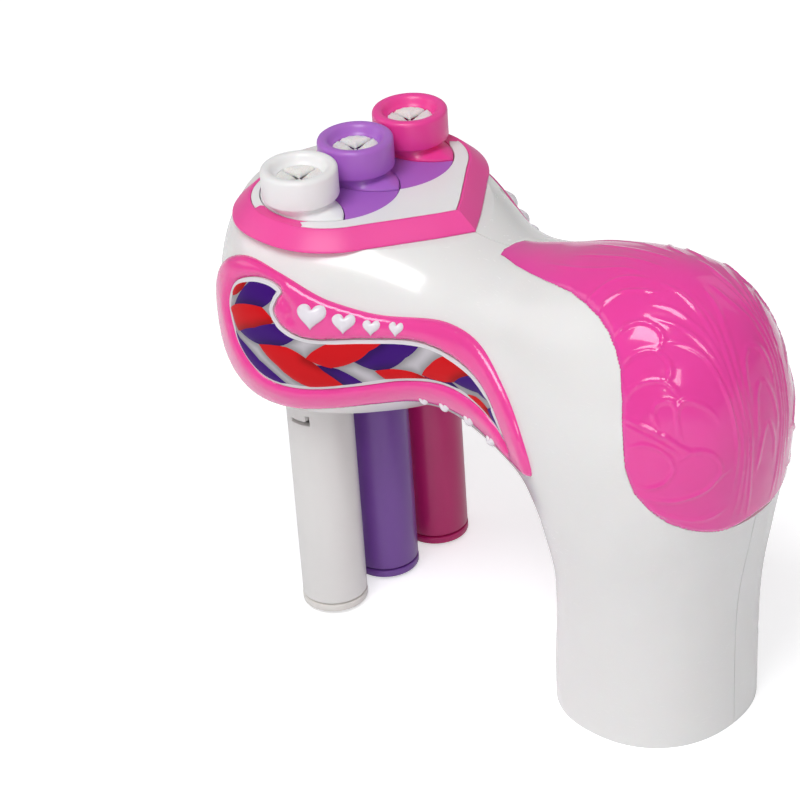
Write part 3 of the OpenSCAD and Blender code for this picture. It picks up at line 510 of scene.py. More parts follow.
# ---------------------------------------------------------------- side bezels
# A soft raised bead of glossy pink ABS on each side, snapped on round the plaited panel. Its
# opening ends in a hooked curl at the front, where a small groove runs into the bead.
BEZEL_LINE = [(ROW_X + x, z) for x, z in (
    (-19, -24), (-14.5, -14.5), (-5, -9.8), (8, -11), (21, -15.5), (34, -18), (50, -17), (62, -19.5),
    (72.5, -27), (79, -35.5), (82, -46.8), (73, -47.4), (64, -45.4), (52.5, -42.4), (41, -43),
    (29, -45.8), (16, -49), (4, -51), (-8, -49.5), (-16, -40))]
OPENING_LINE = [(ROW_X + x, z) for x, z in (
    (-9.5, -22), (-7, -16.5), (-1, -13.5), (5, -13), (8.7, -14.6), (7.8, -17), (7.2, -20.3), (10.5, -24),
    (17, -26), (30, -24.5), (44, -23.3), (56, -25.5), (65, -30), (70, -36), (73.3, -43.5), (68, -38.8),
    (60, -35.6), (50, -34), (38, -36), (26, -39.5), (13, -42), (2, -41), (-5.5, -34.5), (-8.8, -27))]
CURL_GROOVE = np.array([(ROW_X + x, z) for x, z in
                        ((8.4, -15.8), (10.6, -16.6), (12.2, -18.6), (12.4, -21))])
BEZEL_PROUD = 1.6
BEZEL_ROLL = 2.7


def round_line(points, steps=8):
    """A smooth closed outline through the given points."""
    return np.array([curve_at(points, i + j / steps, closed=True)
                     for i in range(len(points)) for j in range(steps)])


def inside_of(points, outline):
    """Which points lie inside a closed outline."""
    x, z = points[:, 0], points[:, 1]
    hit = np.zeros(len(points), bool)
    for a, b in zip(outline, np.roll(outline, -1, 0)):
        if a[1] == b[1]:
            continue
        crosses = (a[1] > z) != (b[1] > z)
        hit ^= crosses & (x < (b[0] - a[0]) * (z - a[1]) / (b[1] - a[1]) + a[0])
    return hit


def sheet_of(outlines, spacing, lines=()):
    """Triangles that fill an outline less its holes, with extra lines kept as edges."""
    border = [np.asarray(o, float) for o in outlines]
    points = [p for loop in border for p in loop]
    edges, at = [], 0
    for loop in border:
        edges += [(at + k, at + (k + 1) % len(loop)) for k in range(len(loop))]
        at += len(loop)
    low, high = border[0].min(0), border[0].max(0)
    xs = np.arange(low[0], high[0], spacing)
    zs = np.arange(low[1], high[1], spacing * 0.866)
    fill = np.array([(x + (j % 2) * spacing / 2, z) for j, z in enumerate(zs) for x in xs])
    keep = inside_of(fill, border[0])
    for hole in border[1:]:
        keep &= ~inside_of(fill, hole)
    fill = fill[keep]
    for loop in list(border) + list(lines):
        fill = fill[edge_distance(fill, loop) > 0.45 * spacing]
    points += list(fill)
    for loop in lines:
        at = len(points)
        points += list(loop)
        edges += [(at + k, at + (k + 1) % len(loop)) for k in range(len(loop))]
    found = delaunay_2d_cdt([Vector(p) for p in points], edges, [], 0, 1e-5)
    flat = np.array([tuple(v) for v in found[0]])
    faces = np.array(found[2])
    middle = flat[faces].mean(1)
    good = inside_of(middle, border[0])
    for hole in border[1:]:
        good &= ~inside_of(middle, hole)
    faces = faces[good]
    used = np.unique(faces)
    order = np.zeros(len(flat), int)
    order[used] = np.arange(len(used))
    return flat[used], order[faces]


def shell_of(top, bottom, faces):
    """Closes a sheet and the one below it into a solid's points and faces."""
    n = len(top)
    seen = {}
    for f in faces:
        for k in range(3):
            pair = (int(f[k]), int(f[(k + 1) % 3]))
            seen[pair] = True
    sides = [(a, b, b + n, a + n) for a, b in seen if (b, a) not in seen]
    faces = [tuple(f) for f in faces] + [tuple(f[::-1] + n) for f in faces] + sides
    return np.vstack([top, bottom]), faces


casing = skin("casing_skin", 0.0, 10, 192)
on_casing = BVHTree.FromObject(casing, bpy.context.evaluated_depsgraph_get())
bpy.data.objects.remove(casing)


def half_width(x, z):
    hit = on_casing.ray_cast(Vector((x, 200.0, z + DECK_Z)), Vector((0, -1, 0)))[0]
    return hit.y if hit else 0.0


def on_side(flat, lift, side):
    """Places side-view points on the housing's flank, raised by lift along its normal."""
    reach = 0.6
    y = np.array([half_width(x, z) for x, z in flat])
    rise_x = np.array([half_width(x + reach, z) - half_width(x - reach, z) for x, z in flat])
    rise_z = np.array([half_width(x, z + reach) - half_width(x, z - reach) for x, z in flat])
    out = np.column_stack([-rise_x / (2 * reach), np.ones(len(flat)), -rise_z / (2 * reach)])
    out /= np.linalg.norm(out, axis=1)[:, None]
    placed = np.column_stack([flat[:, 0], y, flat[:, 1] + DECK_Z]) + out * np.asarray(lift).reshape(-1, 1)
    return placed * [1, side, 1]


pink_gloss = moulded("pink_gloss", paint(255, 70, 168), paint(246, 60, 156), 0.2, 600.0, 0.00001, 0.06,
                     coat_weight=0.7, coat_roughness=0.05, subsurface_weight=0.08,
                     subsurface_scale=0.003)
bezel_edge, opening_edge = round_line(BEZEL_LINE), round_line(OPENING_LINE, 6)
bezel_flat, bezel_faces = sheet_of([bezel_edge, opening_edge], 0.85)
rim_away = np.minimum(edge_distance(bezel_flat, bezel_edge), edge_distance(bezel_flat, opening_edge))
bead = BEZEL_PROUD * np.sqrt(1 - (1 - np.clip(rim_away / BEZEL_ROLL, 0, 1)) ** 2)
groove_away = np.min([np.linalg.norm(bezel_flat - curve_at(CURL_GROOVE, u), axis=1)
                      for u in np.linspace(0, 2.99, 30)], axis=0)
bead *= 1 - 0.55 * np.exp(-(groove_away / 0.9) ** 2)
for side, word in ((-1, "left"), (1, "right")):
    points, faces = shell_of(on_side(bezel_flat, bead + 0.14, side),
                             on_side(bezel_flat, bead * 0 - 0.4, side), bezel_faces)
    bezel = solid(word + "_bead", points, faces)
    carve(bezel, across("mouth", MOUTH))
    seat(bezel, "housing", [pink_gloss], [word + "_bezel"], sharp=50)

# ---------------------------------------------------------------- plaited panels
# A thin printed inlay lies in each bezel: a three-strand plait whose red and indigo strands
# show as leaf shapes over the pale one, each leaf crowned, with painted shadow beside it where another
# crosses over it.
PANEL_LIFT = 0.55
PRINT_BORDER = 1.0
# Each leaf: tone (1 red, 2 indigo), then its corners (x from the row of heads, z from the deck)
LEAVES = [
    (1, [(-7.8, -20.6), (-8.5, -15), (-4.6, -13), (-2.6, -15.4), (-4.6, -18.4)]),
    (2, [(-6.6, -22.6), (-1.6, -14.8), (3.4, -13.4), (7.4, -14.4), (6.4, -17.4), (3.6, -20)]),
    (1, [(-8.6, -24.2), (-4.4, -21.4), (3.6, -19.8), (7.6, -22.8), (2.8, -25.6), (-5.4, -29.4)]),
    (2, [(-4.6, -29.2), (1.4, -26), (8, -23.2), (14.3, -25), (10, -28.8), (2.6, -30.6)]),
    (2, [(-9.4, -28.4), (-5, -31.4), (1.6, -35.4), (9.4, -41.6), (2, -41.8), (-6, -37)]),
    (2, [(17.4, -33.4), (23, -34), (28, -38), (23.4, -39.6)]),
    (1, [(2.2, -30.6), (10.8, -29.2), (15.4, -31.6), (19.6, -35), (23.6, -39.6), (15.2, -41.4),
        (7.2, -35.4)]),
    (2, [(27, -31.4), (30, -27.4), (34.4, -24.4), (43.8, -24.4), (40, -28.4), (35.2, -32.6),
        (31.6, -33.4)]),
    (1, [(15.4, -31.8), (18.6, -28.4), (23.8, -25.6), (34.6, -24.4), (31, -27.6), (27, -31.4),
        (21.4, -33.8)]),
    (2, [(44.6, -32.8), (49, -31.6), (53.6, -32.2), (57, -34.8), (49, -34.2)]),
    (1, [(31.6, -33.6), (38, -32.2), (44.6, -32.9), (49.4, -34.4), (44, -36.2), (35, -37)]),
    (1, [(44, -32.6), (46.6, -29), (50.4, -25.6), (55, -24.3), (62.4, -26.6), (58.4, -29),
        (53.6, -32)]),
    (2, [(54, -31.8), (57.4, -29), (62, -27.4), (69.4, -32.6), (66, -32.4), (62.4, -31.8)]),
    (1, [(56.6, -34.6), (61.6, -33.2), (66, -34.6), (69.4, -38.6), (64, -36.9)]),
    (2, [(66, -34.8), (68.4, -33.4), (72.6, -38.6), (74, -44), (70.4, -39.6)])]
leaves = []
for tone, corners in LEAVES:
    corners = np.array(corners)
    middle = corners.mean(0)
    outline = []
    for a, b in zip(corners, np.roll(corners, -1, 0)):
        across_it = np.array([-(b - a)[1], (b - a)[0]])
        across_it *= math.copysign(0.05, across_it @ ((a + b) / 2 - middle))
        outline += [a + (b - a) * u + across_it * 4 * u * (1 - u) for u in (0, 0.25, 0.5, 0.75)]
    leaves.append((tone, np.array(outline) + [ROW_X, 0]))

panel_edge = grown(round_line(OPENING_LINE, 6)[::-1], -0.15)[::-1]
print_line = grown(panel_edge[::-1], -PRINT_BORDER)[::-1]
panel_flat, panel_faces = sheet_of([panel_edge], 0.75, [print_line] + [outline for tone, outline in leaves])
middles = panel_flat[panel_faces].mean(1)
printed = inside_of(middles, print_line)
tones = np.where(printed, 3, 0)
crown = 0.1 * np.clip((edge_distance(panel_flat, panel_edge) - PRINT_BORDER) / 0.8, 0, 1)
leaf_on = np.full(len(middles), -1)
for number, (tone, outline) in enumerate(leaves):
    leaf_on[inside_of(middles, outline) & printed] = number
    tones[leaf_on == number] = tone
painted_shadow = np.zeros(panel_faces.shape)
for number, (tone, outline) in enumerate(leaves):
    away = edge_distance(panel_flat, outline)
    within = inside_of(panel_flat, outline)
    rounded_leaf = np.sqrt(1 - (1 - np.clip(away[within] / 2.4, 0, 1)) ** 2)
    crown[within] = np.maximum(crown[within], 0.1 + 0.3 * rounded_leaf)
    # Painted shadow: what lies under a leaf is darkened beside it, where the upper leaf would shade it
    beside = np.exp(-(away / 1.5) ** 2)[panel_faces]
    painted_shadow = np.maximum(painted_shadow, beside * ((leaf_on < number) & printed)[:, None])
crown *= np.clip(edge_distance(panel_flat, panel_edge) / 1.2, 0, 1)


def panel_print(name, colour):
    """A printed colour under clear lacquer, darkened by painted shadow beside each crossing."""
    material = moulded(name, colour, tuple(v * 0.86 for v in colour[:3]) + (1.0,), 0.42, 1500.0, 0.000012,
                       0.1, 0.0001, specular_ior_level=0.14)
    tree = material.node_tree
    # Painted shadow: the printed colour is darkened where a leaf passes under another
    crossing = node(tree, "Attribute", attribute_name="painted_crossing_shadow")
    soft = node(tree, "Math", operation="MULTIPLY", in0=crossing.outputs["Fac"], in1=0.6)
    printed = node(tree, "Mix", data_type="RGBA", in0=soft.outputs[0], in6=tree.nodes["Mix"].outputs[2],
                   in7=tuple(v * 0.2 for v in colour[:3]) + (1.0,))
    tree.links.new(printed.outputs[2], tree.nodes["Principled BSDF"].inputs["Base Color"])
    return material


prints = [panel_print("print_white", paint(236, 234, 238)), panel_print("print_red", paint(224, 16, 26)),
          panel_print("print_indigo", paint(66, 12, 124)), panel_print("print_pale", paint(214, 210, 216))]
for side, word in ((-1, "left"), (1, "right")):
    points, faces = shell_of(on_side(panel_flat, PANEL_LIFT + crown, side),
                             on_side(panel_flat, crown * 0 - 0.3, side), panel_faces)
    panel = solid(word + "_plait", points, faces)
    tone_of_face = np.zeros(len(panel.data.polygons), int)
    tone_of_face[:len(tones)] = tones
    seat(panel, "housing", prints, [word + "_braid_panel"], sharp=60)
    panel.data.polygons.foreach_set("material_index", tone_of_face)
    # Each face corner carries the painted shadow beside the leaves that lie over it
    corners = np.zeros(len(panel.data.loops), np.float32)
    order = np.zeros(len(panel.data.loops), int)
    panel.data.loops.foreach_get("vertex_index", order)
    for number, face in enumerate(panel.data.polygons[:len(tones)]):
        for k in face.loop_indices:
            corners[k] = painted_shadow[number][list(panel_faces[number]).index(order[k])]
    panel.data.attributes.new("painted_crossing_shadow", "FLOAT", "CORNER").data.foreach_set("value", corners)

# ---------------------------------------------------------------- heart studs
# Eight puffy pearl-white hearts on each bezel, pressed into it, largest at the front above and
# growing to the back below.
HEARTS = [(ROW_X + x, z) for x, z in ((17.5, -19.1), (25.2, -20.2), (31.8, -20.7), (37.9, -20.5),
                                      (42.5, -40.8), (49.2, -40.7), (57.8, -41.7), (66.3, -44))]
HEART_SIZES = (7.4, 5.8, 4.4, 4, 2.8, 3.4, 3.8, 3.8)
pearl_white = moulded("pearl_white", paint(246, 243, 247), paint(238, 232, 242), 0.24, 900.0, 0.000008,
                      0.05, 0.0001, coat_weight=0.6, coat_roughness=0.06, sheen_weight=0.15)


HEART_POINTS = 40


def heart_line(size):
    """The outline of a heart, as wide as size."""
    turn = 2 * np.pi * np.arange(HEART_POINTS) / HEART_POINTS
    return size / 32 * np.column_stack([
        16 * np.sin(turn) ** 3,
        13 * np.cos(turn) - 5 * np.cos(2 * turn) - 2 * np.cos(3 * turn) - np.cos(4 * turn)])


for side, word in ((-1, "left"), (1, "right")):
    points, faces = [], []
    for centre, size in zip(HEARTS, HEART_SIZES):
        outline = heart_line(size)
        turn = 2 * np.pi * np.arange(len(outline)) / len(outline)
        disc = size * 0.36 * np.column_stack([np.sin(turn), np.cos(turn)]) + [0, size * 0.02]
        levels = [(1.0, 0.0, -0.5), (1.0, 0.0, 0.1)] + [
            (math.cos(a), math.sin(a) ** 1.3, 0.1 + (0.24 * size + 0.35) * math.sin(a))
            for a in np.radians([12, 24, 36, 48, 60, 72, 83])]
        at = len(points)
        for shrink, rounded, height in levels:
            rim = (outline * (1 - rounded) + disc * rounded) * shrink + centre
            points += list(on_side(rim, BEZEL_PROUD - 0.25 + height, side))
        ring_faces = tube_faces(len(levels), len(outline))
        faces += [[at + k for k in f] for f in ring_faces]
    hearts = solid(word + "_heart_studs", points, faces)
    seat(hearts, "housing", [pearl_white], [word + "_hearts"], sharp=70)

# ---------------------------------------------------------------- deck and heart-shaped rim
# The white deck has a figure-eight opening for the two rotors. Round it lies a sloping pink
# rim, heart-shaped in plan with a mitred tip at the back; two tabs of it reach in to the heads.
HALF_DECK = [(34.4, 0), (31.4, 4.7), (21.5, 18.4), (16.2, 25.4), (9.2, 29.8), (0.5, 31), (-8.6, 29.4),
             (-15.4, 23.8), (-19, 15.8), (-18.6, 8), (-15.4, 0)]
ROTOR_R = 18.0
ROTOR_WAY_R = ROTOR_R + 0.3
TAB_HALF_L = 8.3
RIM_W = 5.2
half_line = [np.array(HALF_DECK[0]) + (np.array(HALF_DECK[1]) - HALF_DECK[0]) * j / 6 for j in range(6)]
half_line += [curve_at(HALF_DECK, i + j / 6) for i in range(1, len(HALF_DECK) - 1) for j in range(6)]
deck_line = np.array(half_line + [np.array(HALF_DECK[-1])] + [p * [1, -1] for p in half_line[:0:-1]])
# Across the rim: distance out from the deck, level
RIM_PROFILE = [(0, -4.5), (0, -0.3), (0.09, -0.09), (0.3, 0), (0.75, -0.04), (1.2, -0.34), (2.9, -1.86),
               (4.5, -3.34), (4.95, -3.82), (5.16, -4.1), (RIM_W, -4.5)]
rim_rows = [np.column_stack([grown(deck_line, w) + [ROW_X, 0], np.full(len(deck_line), z + DECK_Z)])
            for w, z in RIM_PROFILE]
rim = solid("heart_rim_band", np.vstack(rim_rows), tube_faces(len(rim_rows), len(deck_line), closed=True))


def tab_line(side, grow=0.0):
    """The outline in plan of a tab: an arc along the rotor, pointed steps at its ends, the rim."""
    arc = math.asin(8.5 / ROTOR_WAY_R)
    turn = np.linspace(-arc, arc, 25)
    inner = [((ROTOR_WAY_R - grow) * math.sin(a), ROTOR_Y + (ROTOR_WAY_R - grow) * math.cos(a))
             for a in turn]
    inner[0] = (inner[0][0] - grow, inner[0][1])
    inner[-1] = (inner[-1][0] + grow, inner[-1][1])
    outer = [(6.6 + grow, ROTOR_Y + 17.9), (TAB_HALF_L + grow, ROTOR_Y + 18.9),
             (TAB_HALF_L + grow, 34), (-TAB_HALF_L - grow, 34),
             (-TAB_HALF_L - grow, ROTOR_Y + 17.2), (-6.8 - grow, ROTOR_Y + 16.6)]
    points = np.array(inner + outer)
    return points * [1, side] + [ROW_X, 0]


def plate(name, outline, low, high):
    """A flat plate cut to an outline in plan, between two levels from the deck."""
    points = [(x, y, z + DECK_Z) for z in (low, high) for x, y in outline]
    return solid(name, points, tube_faces(2, len(outline)))


for side in (-1, 1):
    tab = plate("tab", tab_line(side), -4.35, -0.05)
    carve(tab, plate("tab_limit", grown(deck_line, 0.3) + [ROW_X, 0], -5, 1), "INTERSECT")
    carve(tab, drum("rotor_edge", ROTOR_WAY_R, -6, 1, ROW_X, side * ROTOR_Y, 160))
    carve(rim, tab, "UNION")
rim_pink = moulded("rim_pink", paint(255, 84, 172), paint(248, 70, 160), 0.4, 800.0, 0.000012, 0.08,
                   coat_weight=0.1, coat_roughness=0.3, subsurface_weight=0.08, subsurface_scale=0.003)
seat(rim, "housing", [rim_pink], ["heart_rim"], sharp=28)

deck = plate("deck_top", grown(deck_line, -0.1) + [ROW_X, 0], -4.55, 0)
for side in (-1, 1):
    carve(deck, drum("skirt", ROTOR_R + 2.0, -15.7, -4.4, ROW_X, side * ROTOR_Y), "UNION")
for side in (-1, 1):
    carve(deck, drum("rotor_way", ROTOR_WAY_R, -18, 2, ROW_X, side * ROTOR_Y, 160))
    carve(deck, plate("tab_way", tab_line(side, 0.1), -4.5, 2))
white_satin = moulded("white_satin", paint(252, 251, 251), paint(247, 245, 246), 0.34, 1100.0, 0.000012,
                      0.08, 0.00025, coat_weight=0.2, coat_roughness=0.2, subsurface_weight=0.06,
                      subsurface_scale=0.003)
seat(deck, "housing", [white_satin], ["deck_plate"])

# ---------------------------------------------------------------- rotors and feet
# Two purple rotors turn flush in the deck, and lens-shaped feet sit between their hollow
# flanks. Each foot flares in a hollow curve up to the neck under its cap. All satin ABS.
HEADS = {"white": -21.0, "purple": 0.0, "pink": 21.0}
BODY_OF_HEAD = {"white": "left_rotor", "purple": "purple_head", "pink": "right_rotor"}
CAP_LIFT = 2.7
purple_satin, pink_satin = (
    moulded(name, paint(*colour), paint(*deeper), 0.36, 900.0, 0.000012, 0.08, 0.0003,
            coat_weight=0.25, coat_roughness=0.18, subsurface_weight=0.08, subsurface_scale=0.003)
    for name, colour, deeper in (("purple_satin", (188, 116, 216), (174, 102, 204)),
                                 ("pink_satin", (255, 74, 168), (246, 60, 156))))
SATIN = {"white": white_satin, "purple": purple_satin, "pink": pink_satin}
dress(purple_satin, "rotor_left", "rotor_right")
for head, y in HEADS.items():
    dress(SATIN[head], head + "_foot")
    turn = 2 * np.pi * np.arange(120) / 120
    side_on = np.abs(np.sin(turn)) * ROTOR_Y
    lens = np.sqrt(np.maximum((ROTOR_R - 0.25) ** 2 - (ROTOR_Y * np.cos(turn)) ** 2, 0)) - side_on
    rows = []
    for u in np.linspace(0, 1, 15):
        blend = (1 - u) ** 2.6
        radius = lens * blend + 8.0 * (1 - blend)
        rows.append(np.column_stack([ROW_X + radius * np.cos(turn), y + radius * np.sin(turn),
                                     np.full(120, DECK_Z + 0.06 + (CAP_LIFT - 0.1) * u)]))
    rows.insert(0, rows[0] - [0, 0, 0.2])
    flare = solid(head + "_foot_flare", np.vstack(rows), tube_faces(len(rows), 120))
    carve(flare, drum("spigot_way", 5.9, -2, 6, ROW_X, y))
    seat(flare, BODY_OF_HEAD[head], [SATIN[head]], [])

# ---------------------------------------------------------------- caps
# A squat round cap on each head, its wide rim rolled into a dished mouth, snapped on the
# spigot of the foot. White, purple and pink.
CAP_R = 10.0
CAP_H = 8.2
CAP_PROFILE = [(5.9, 0.02), (9.5, 0.02), (9.75, 0.07), (9.93, 0.22), (10, 0.45), (10, 3), (10, 6.95)]
CAP_PROFILE += [(CAP_R - 1.15 + 1.15 * math.cos(a), CAP_H - 1.15 + 1.15 * math.sin(a))
                for a in np.radians([15, 30, 45, 60, 75, 90])]
CAP_PROFILE += [(8.3, CAP_H - 0.02), (7.9, CAP_H - 0.1), (7.55, CAP_H - 0.28), (7.25, CAP_H - 0.58),
                (6.95, CAP_H - 1.05), (6.6, CAP_H - 1.75), (6.25, CAP_H - 2.35), (5.9, CAP_H - 2.62)]
for head, y in HEADS.items():
    cap = turned(head + "_cap_ring", [(r, z + CAP_LIFT) for r, z in CAP_PROFILE], ROW_X, y, 128)
    seat(cap, BODY_OF_HEAD[head], [SATIN[head]], [head + "_cap"], sharp=50)

# ---------------------------------------------------------------- foam pads
# Petal-shaped flaps of white foam lie in each cap's mouth, with a crossed slot between them.
# Cut from soft sheet, so their edges are wavy and they sag to the middle.
foam_cells, inside, outside = effect(
    "foam_cells", [("Cell Scale", 2600.0), ("Cell Depth", 0.00008)],
    [("Shade", "Float"), ("Normal", "Vector")])
place = node(foam_cells, "TexCoord").outputs["Object"]
cells = node(foam_cells, "TexVoronoi", vector=place, scale=inside.outputs["Cell Scale"])
# The cells' depth drives both the bump and a painted shade in the pits
pit_depth_and_shade = node(foam_cells, "MapRange", value=cells.outputs["Distance"], in1=0.05, in2=0.5)
sunk = node(foam_cells, "Bump", height=pit_depth_and_shade.outputs[0], distance=inside.outputs["Cell Depth"], strength=0.8)
foam_cells.links.new(pit_depth_and_shade.outputs[0], outside.inputs["Shade"])
foam_cells.links.new(sunk.outputs[0], outside.inputs["Normal"])
foam = bpy.data.materials.new("foam")
foam.use_nodes = True
cellular = foam.node_tree.nodes.new("ShaderNodeGroup")
cellular.node_tree = foam_cells
cellular.inputs["Cell Scale"].default_value = 2600.0
cellular.inputs["Cell Depth"].default_value = 0.00006
foam_shader = foam.node_tree.nodes["Principled BSDF"]
# Painted shade: the foam is darker in the sunken pits of its cells.
foam_tone = node(foam.node_tree, "Mix", data_type="RGBA", in0=cellular.outputs["Shade"],
                 in6=paint(226, 218, 214), in7=paint(242, 238, 236))
foam.node_tree.links.new(foam_tone.outputs[2], foam_shader.inputs["Base Color"])
foam.node_tree.links.new(cellular.outputs["Normal"], foam_shader.inputs["Normal"])
foam_shader.inputs["Roughness"].default_value = 0.85
foam_shader.inputs["Subsurface Weight"].default_value = 0.2
foam_shader.inputs["Subsurface Scale"].default_value = 0.002
foam_shader.inputs["Sheen Weight"].default_value = 0.3

PAD_R = 6.3
PAD_TOP = 6.0
PAD_HALF_TURN = 0.765
for head, y in HEADS.items():
    points, faces = [], []
    for flap in range(4):
        middle = math.radians(45 + 90 * flap)
        outline = []
        for a in np.linspace(-PAD_HALF_TURN, PAD_HALF_TURN, 19):
            outline.append(PAD_R * np.array([math.cos(middle + a), math.sin(middle + a)]))
        for u in np.linspace(0, 1, 15)[1:-1]:
            # The free edge runs in towards the middle in three soft lobes
            a = PAD_HALF_TURN - 2 * PAD_HALF_TURN * u
            reach = PAD_R - (PAD_R - 0.75) * math.sin(math.pi * u) ** 0.36
            reach += 0.16 * math.sin(3 * math.pi * u + flap)
            outline.append(reach * np.array([math.cos(middle + a), math.sin(middle + a)]))
        outline = np.array(outline)
        flat, triangles = sheet_of([outline], 0.5)
        away = edge_distance(flat, outline)
        centre_gap = np.linalg.norm(flat, axis=1)
        top = PAD_TOP - 1.1 + 0.95 * np.sqrt(np.clip(away / 1.1, 0, 1))
        top -= 0.05 * np.maximum(PAD_R - centre_gap, 0) ** 1.25
        top += 0.12 * np.sin(2.4 * flat[:, 0] + flap) * np.cos(2.1 * flat[:, 1])
        spot = [ROW_X, y]
        upper = np.column_stack([flat + spot, top + CAP_LIFT + DECK_Z])
        lower = np.column_stack([flat + spot, np.minimum(top - 0.35, PAD_TOP - 1.5) + CAP_LIFT + DECK_Z])
        p, f = shell_of(upper, lower, triangles)
        faces += [tuple(k + len(points) for k in face) for face in f]
        points += list(p)
    pads = solid(head + "_petal_pads", points, faces)
    seat(pads, BODY_OF_HEAD[head], [foam], [head + "_pads"], sharp=60)

# ---------------------------------------------------------------- tubes
# Three straight satin tubes, pushed on the stems under the casing. Each has a lengthwise seam,
# an L-shaped latch notch near the casing and a separate ring round its lower end.
TUBE_R = 8.9
TUBE_TOP = -30.0
TUBE_L = 91.0
TUBE_END = TUBE_TOP - TUBE_L
STEM_BORE = 6.15
off_white = moulded("off_white", paint(236, 233, 229), paint(227, 223, 218), 0.4, 900.0, 0.000015,
                    0.08, 0.0002, coat_weight=0.1)
TUBE_PROFILE = [(6.9, 0), (7.8, 0), (7.9, 0.1), (7.9, 2.55), (8.6, 2.6), (8.82, 2.7), (TUBE_R, 2.95),
                (TUBE_R, TUBE_L - 1), (8.75, TUBE_L - 0.5), (8.4, TUBE_L - 0.12), (8.1, TUBE_L),
                (6.4, TUBE_L), (STEM_BORE, TUBE_L - 0.3), (STEM_BORE, TUBE_L - 15), (6.9, TUBE_L - 16)]
RING_PROFILE = [(7.98, 0), (8.6, 0), (8.88, 0.1), (9, 0.4), (9, 1.7), (8.9, 1.98), (8.65, 2.1),
                (7.98, 2.1)]
# The tubes are deeper in colour than their caps: partly their own tone, partly painted shade for the casing
# that hangs over them.
TUBE_TONES_WITH_SHADE = {"white": ((240, 238, 236), (232, 230, 228)), "purple": ((124, 74, 166), (112, 62, 154)),
                "pink": ((206, 30, 118), (190, 24, 104))}
TUBE_FINISH_WITH_SHADE = {head: moulded("tube_" + head, paint(*colour), paint(*deeper), 0.34, 900.0, 0.000012, 0.08,
                             0.0002, coat_weight=0.2)
               for head, (colour, deeper) in TUBE_TONES_WITH_SHADE.items()}
for head, y in HEADS.items():
    tube = turned(head + "_hair_tube", [(r, z + TUBE_END) for r, z in TUBE_PROFILE], ROW_X, y, 96)
    seam_x = ROW_X - TUBE_R
    carve(tube, box("seam", (seam_x - 1, y - 0.15, TUBE_END + 3.4), (seam_x + 0.35, y + 0.15, TUBE_TOP - 2)))
    notch_z = TUBE_TOP - 31.5
    carve(tube, box("notch", (ROW_X - 2, y - 11, notch_z), (ROW_X + 4, y - 6, notch_z + 1.2)))
    carve(tube, box("notch_leg", (ROW_X + 2.8, y - 11, notch_z), (ROW_X + 4, y - 6, notch_z + 3)))
    seat(tube, head + "_tube", [TUBE_FINISH_WITH_SHADE[head]], [head + "_tube"])
    ring = turned(head + "_end_ring", [(r, z + TUBE_END) for r, z in RING_PROFILE], ROW_X, y, 96)
    # The purple and pink rings take the tubes' deeper colour, painted shade included.
    ring_finish = off_white if head == "white" else TUBE_FINISH_WITH_SHADE[head]
    seat(ring, head + "_tube", [ring_finish],
         [head + "_tube_ring"])

# ---------------------------------------------------------------- trigger
# A pink ABS trigger with a hollowed face slides in the front of the grip, its flange behind
# the wall, and presses the switch. Its edges are well rounded.
FLANGE_X = -GRIP_HALF + 5.7
FRONT_X = -GRIP_HALF - 7.8
TRIGGER_Z = -74.0
TRIGGER_HALF_W = 6.5
FINGER_FACE = [(FRONT_X + 4.7, -10), (FRONT_X + 3.5, -8.4), (FRONT_X + 3.1, -5), (FRONT_X + 2, 0),
               (FRONT_X + 0.1, 5.2), (FRONT_X, 8), (FRONT_X + 2.2, 10)]
face_line = [curve_at(FINGER_FACE, i + j / 5) for i in range(len(FINGER_FACE) - 1) for j in range(5)]
face_line.append(np.array(FINGER_FACE[-1], float))
trigger_line = np.array([(FLANGE_X + 1.3, 10), (FLANGE_X + 1.3, -10)] + [tuple(p) for p in face_line])
trigger_line[:, 1] += TRIGGER_Z
TRIGGER_ROUND = 1.6
halves = []
for turn_by in np.radians(np.linspace(0, 90, 7)):
    shrink = TRIGGER_ROUND * (1 - math.sin(turn_by))
    line = np.array(trigger_line)
    line[2:, 0] += shrink
    line[:, 1] = TRIGGER_Z + (line[:, 1] - TRIGGER_Z) * (1 - shrink / 10)
    halves.append((TRIGGER_HALF_W - TRIGGER_ROUND * (1 - math.cos(turn_by)), line))
rows = [np.column_stack([line[:, 0], np.full(len(line), -y), line[:, 1] + DECK_Z]) for y, line in halves]
rows += [np.column_stack([line[:, 0], np.full(len(line), y), line[:, 1] + DECK_Z])
         for y, line in halves[::-1]]
trigger = solid("trigger_button", np.vstack(rows), tube_faces(len(rows), len(trigger_line)))
carve(trigger, box("flange", (FLANGE_X, -TRIGGER_HALF_W - 1.6, TRIGGER_Z - 11.4),
                   (FLANGE_X + 1.3, TRIGGER_HALF_W + 1.6, -58)), "UNION")
seat(trigger, "trigger", [pink_gloss], ["trigger"], sharp=40)

# ---------------------------------------------------------------- gearbox and track plate
# Inside the casing: acetal gears on steel axles in a grey ABS frame with a screwed cover, and
# the plate that the rotors' stems travel in. Bare mouldings with a fine spark-eroded texture.
natural_plastic = moulded("natural_plastic", paint(228, 216, 180), paint(214, 200, 160), 0.42, 1800.0,
                          0.00002, 0.1, 0.0001)
grey_plastic = moulded("grey_plastic", paint(206, 206, 212), paint(190, 190, 198), 0.5, 2200.0, 0.00003,
                       0.12, 0.0002)
dress(natural_plastic, "driver_gear", "second_gear", "first_gear")
dress(grey_plastic, "gearbox_frame", "gearbox_cover", "track_plate")

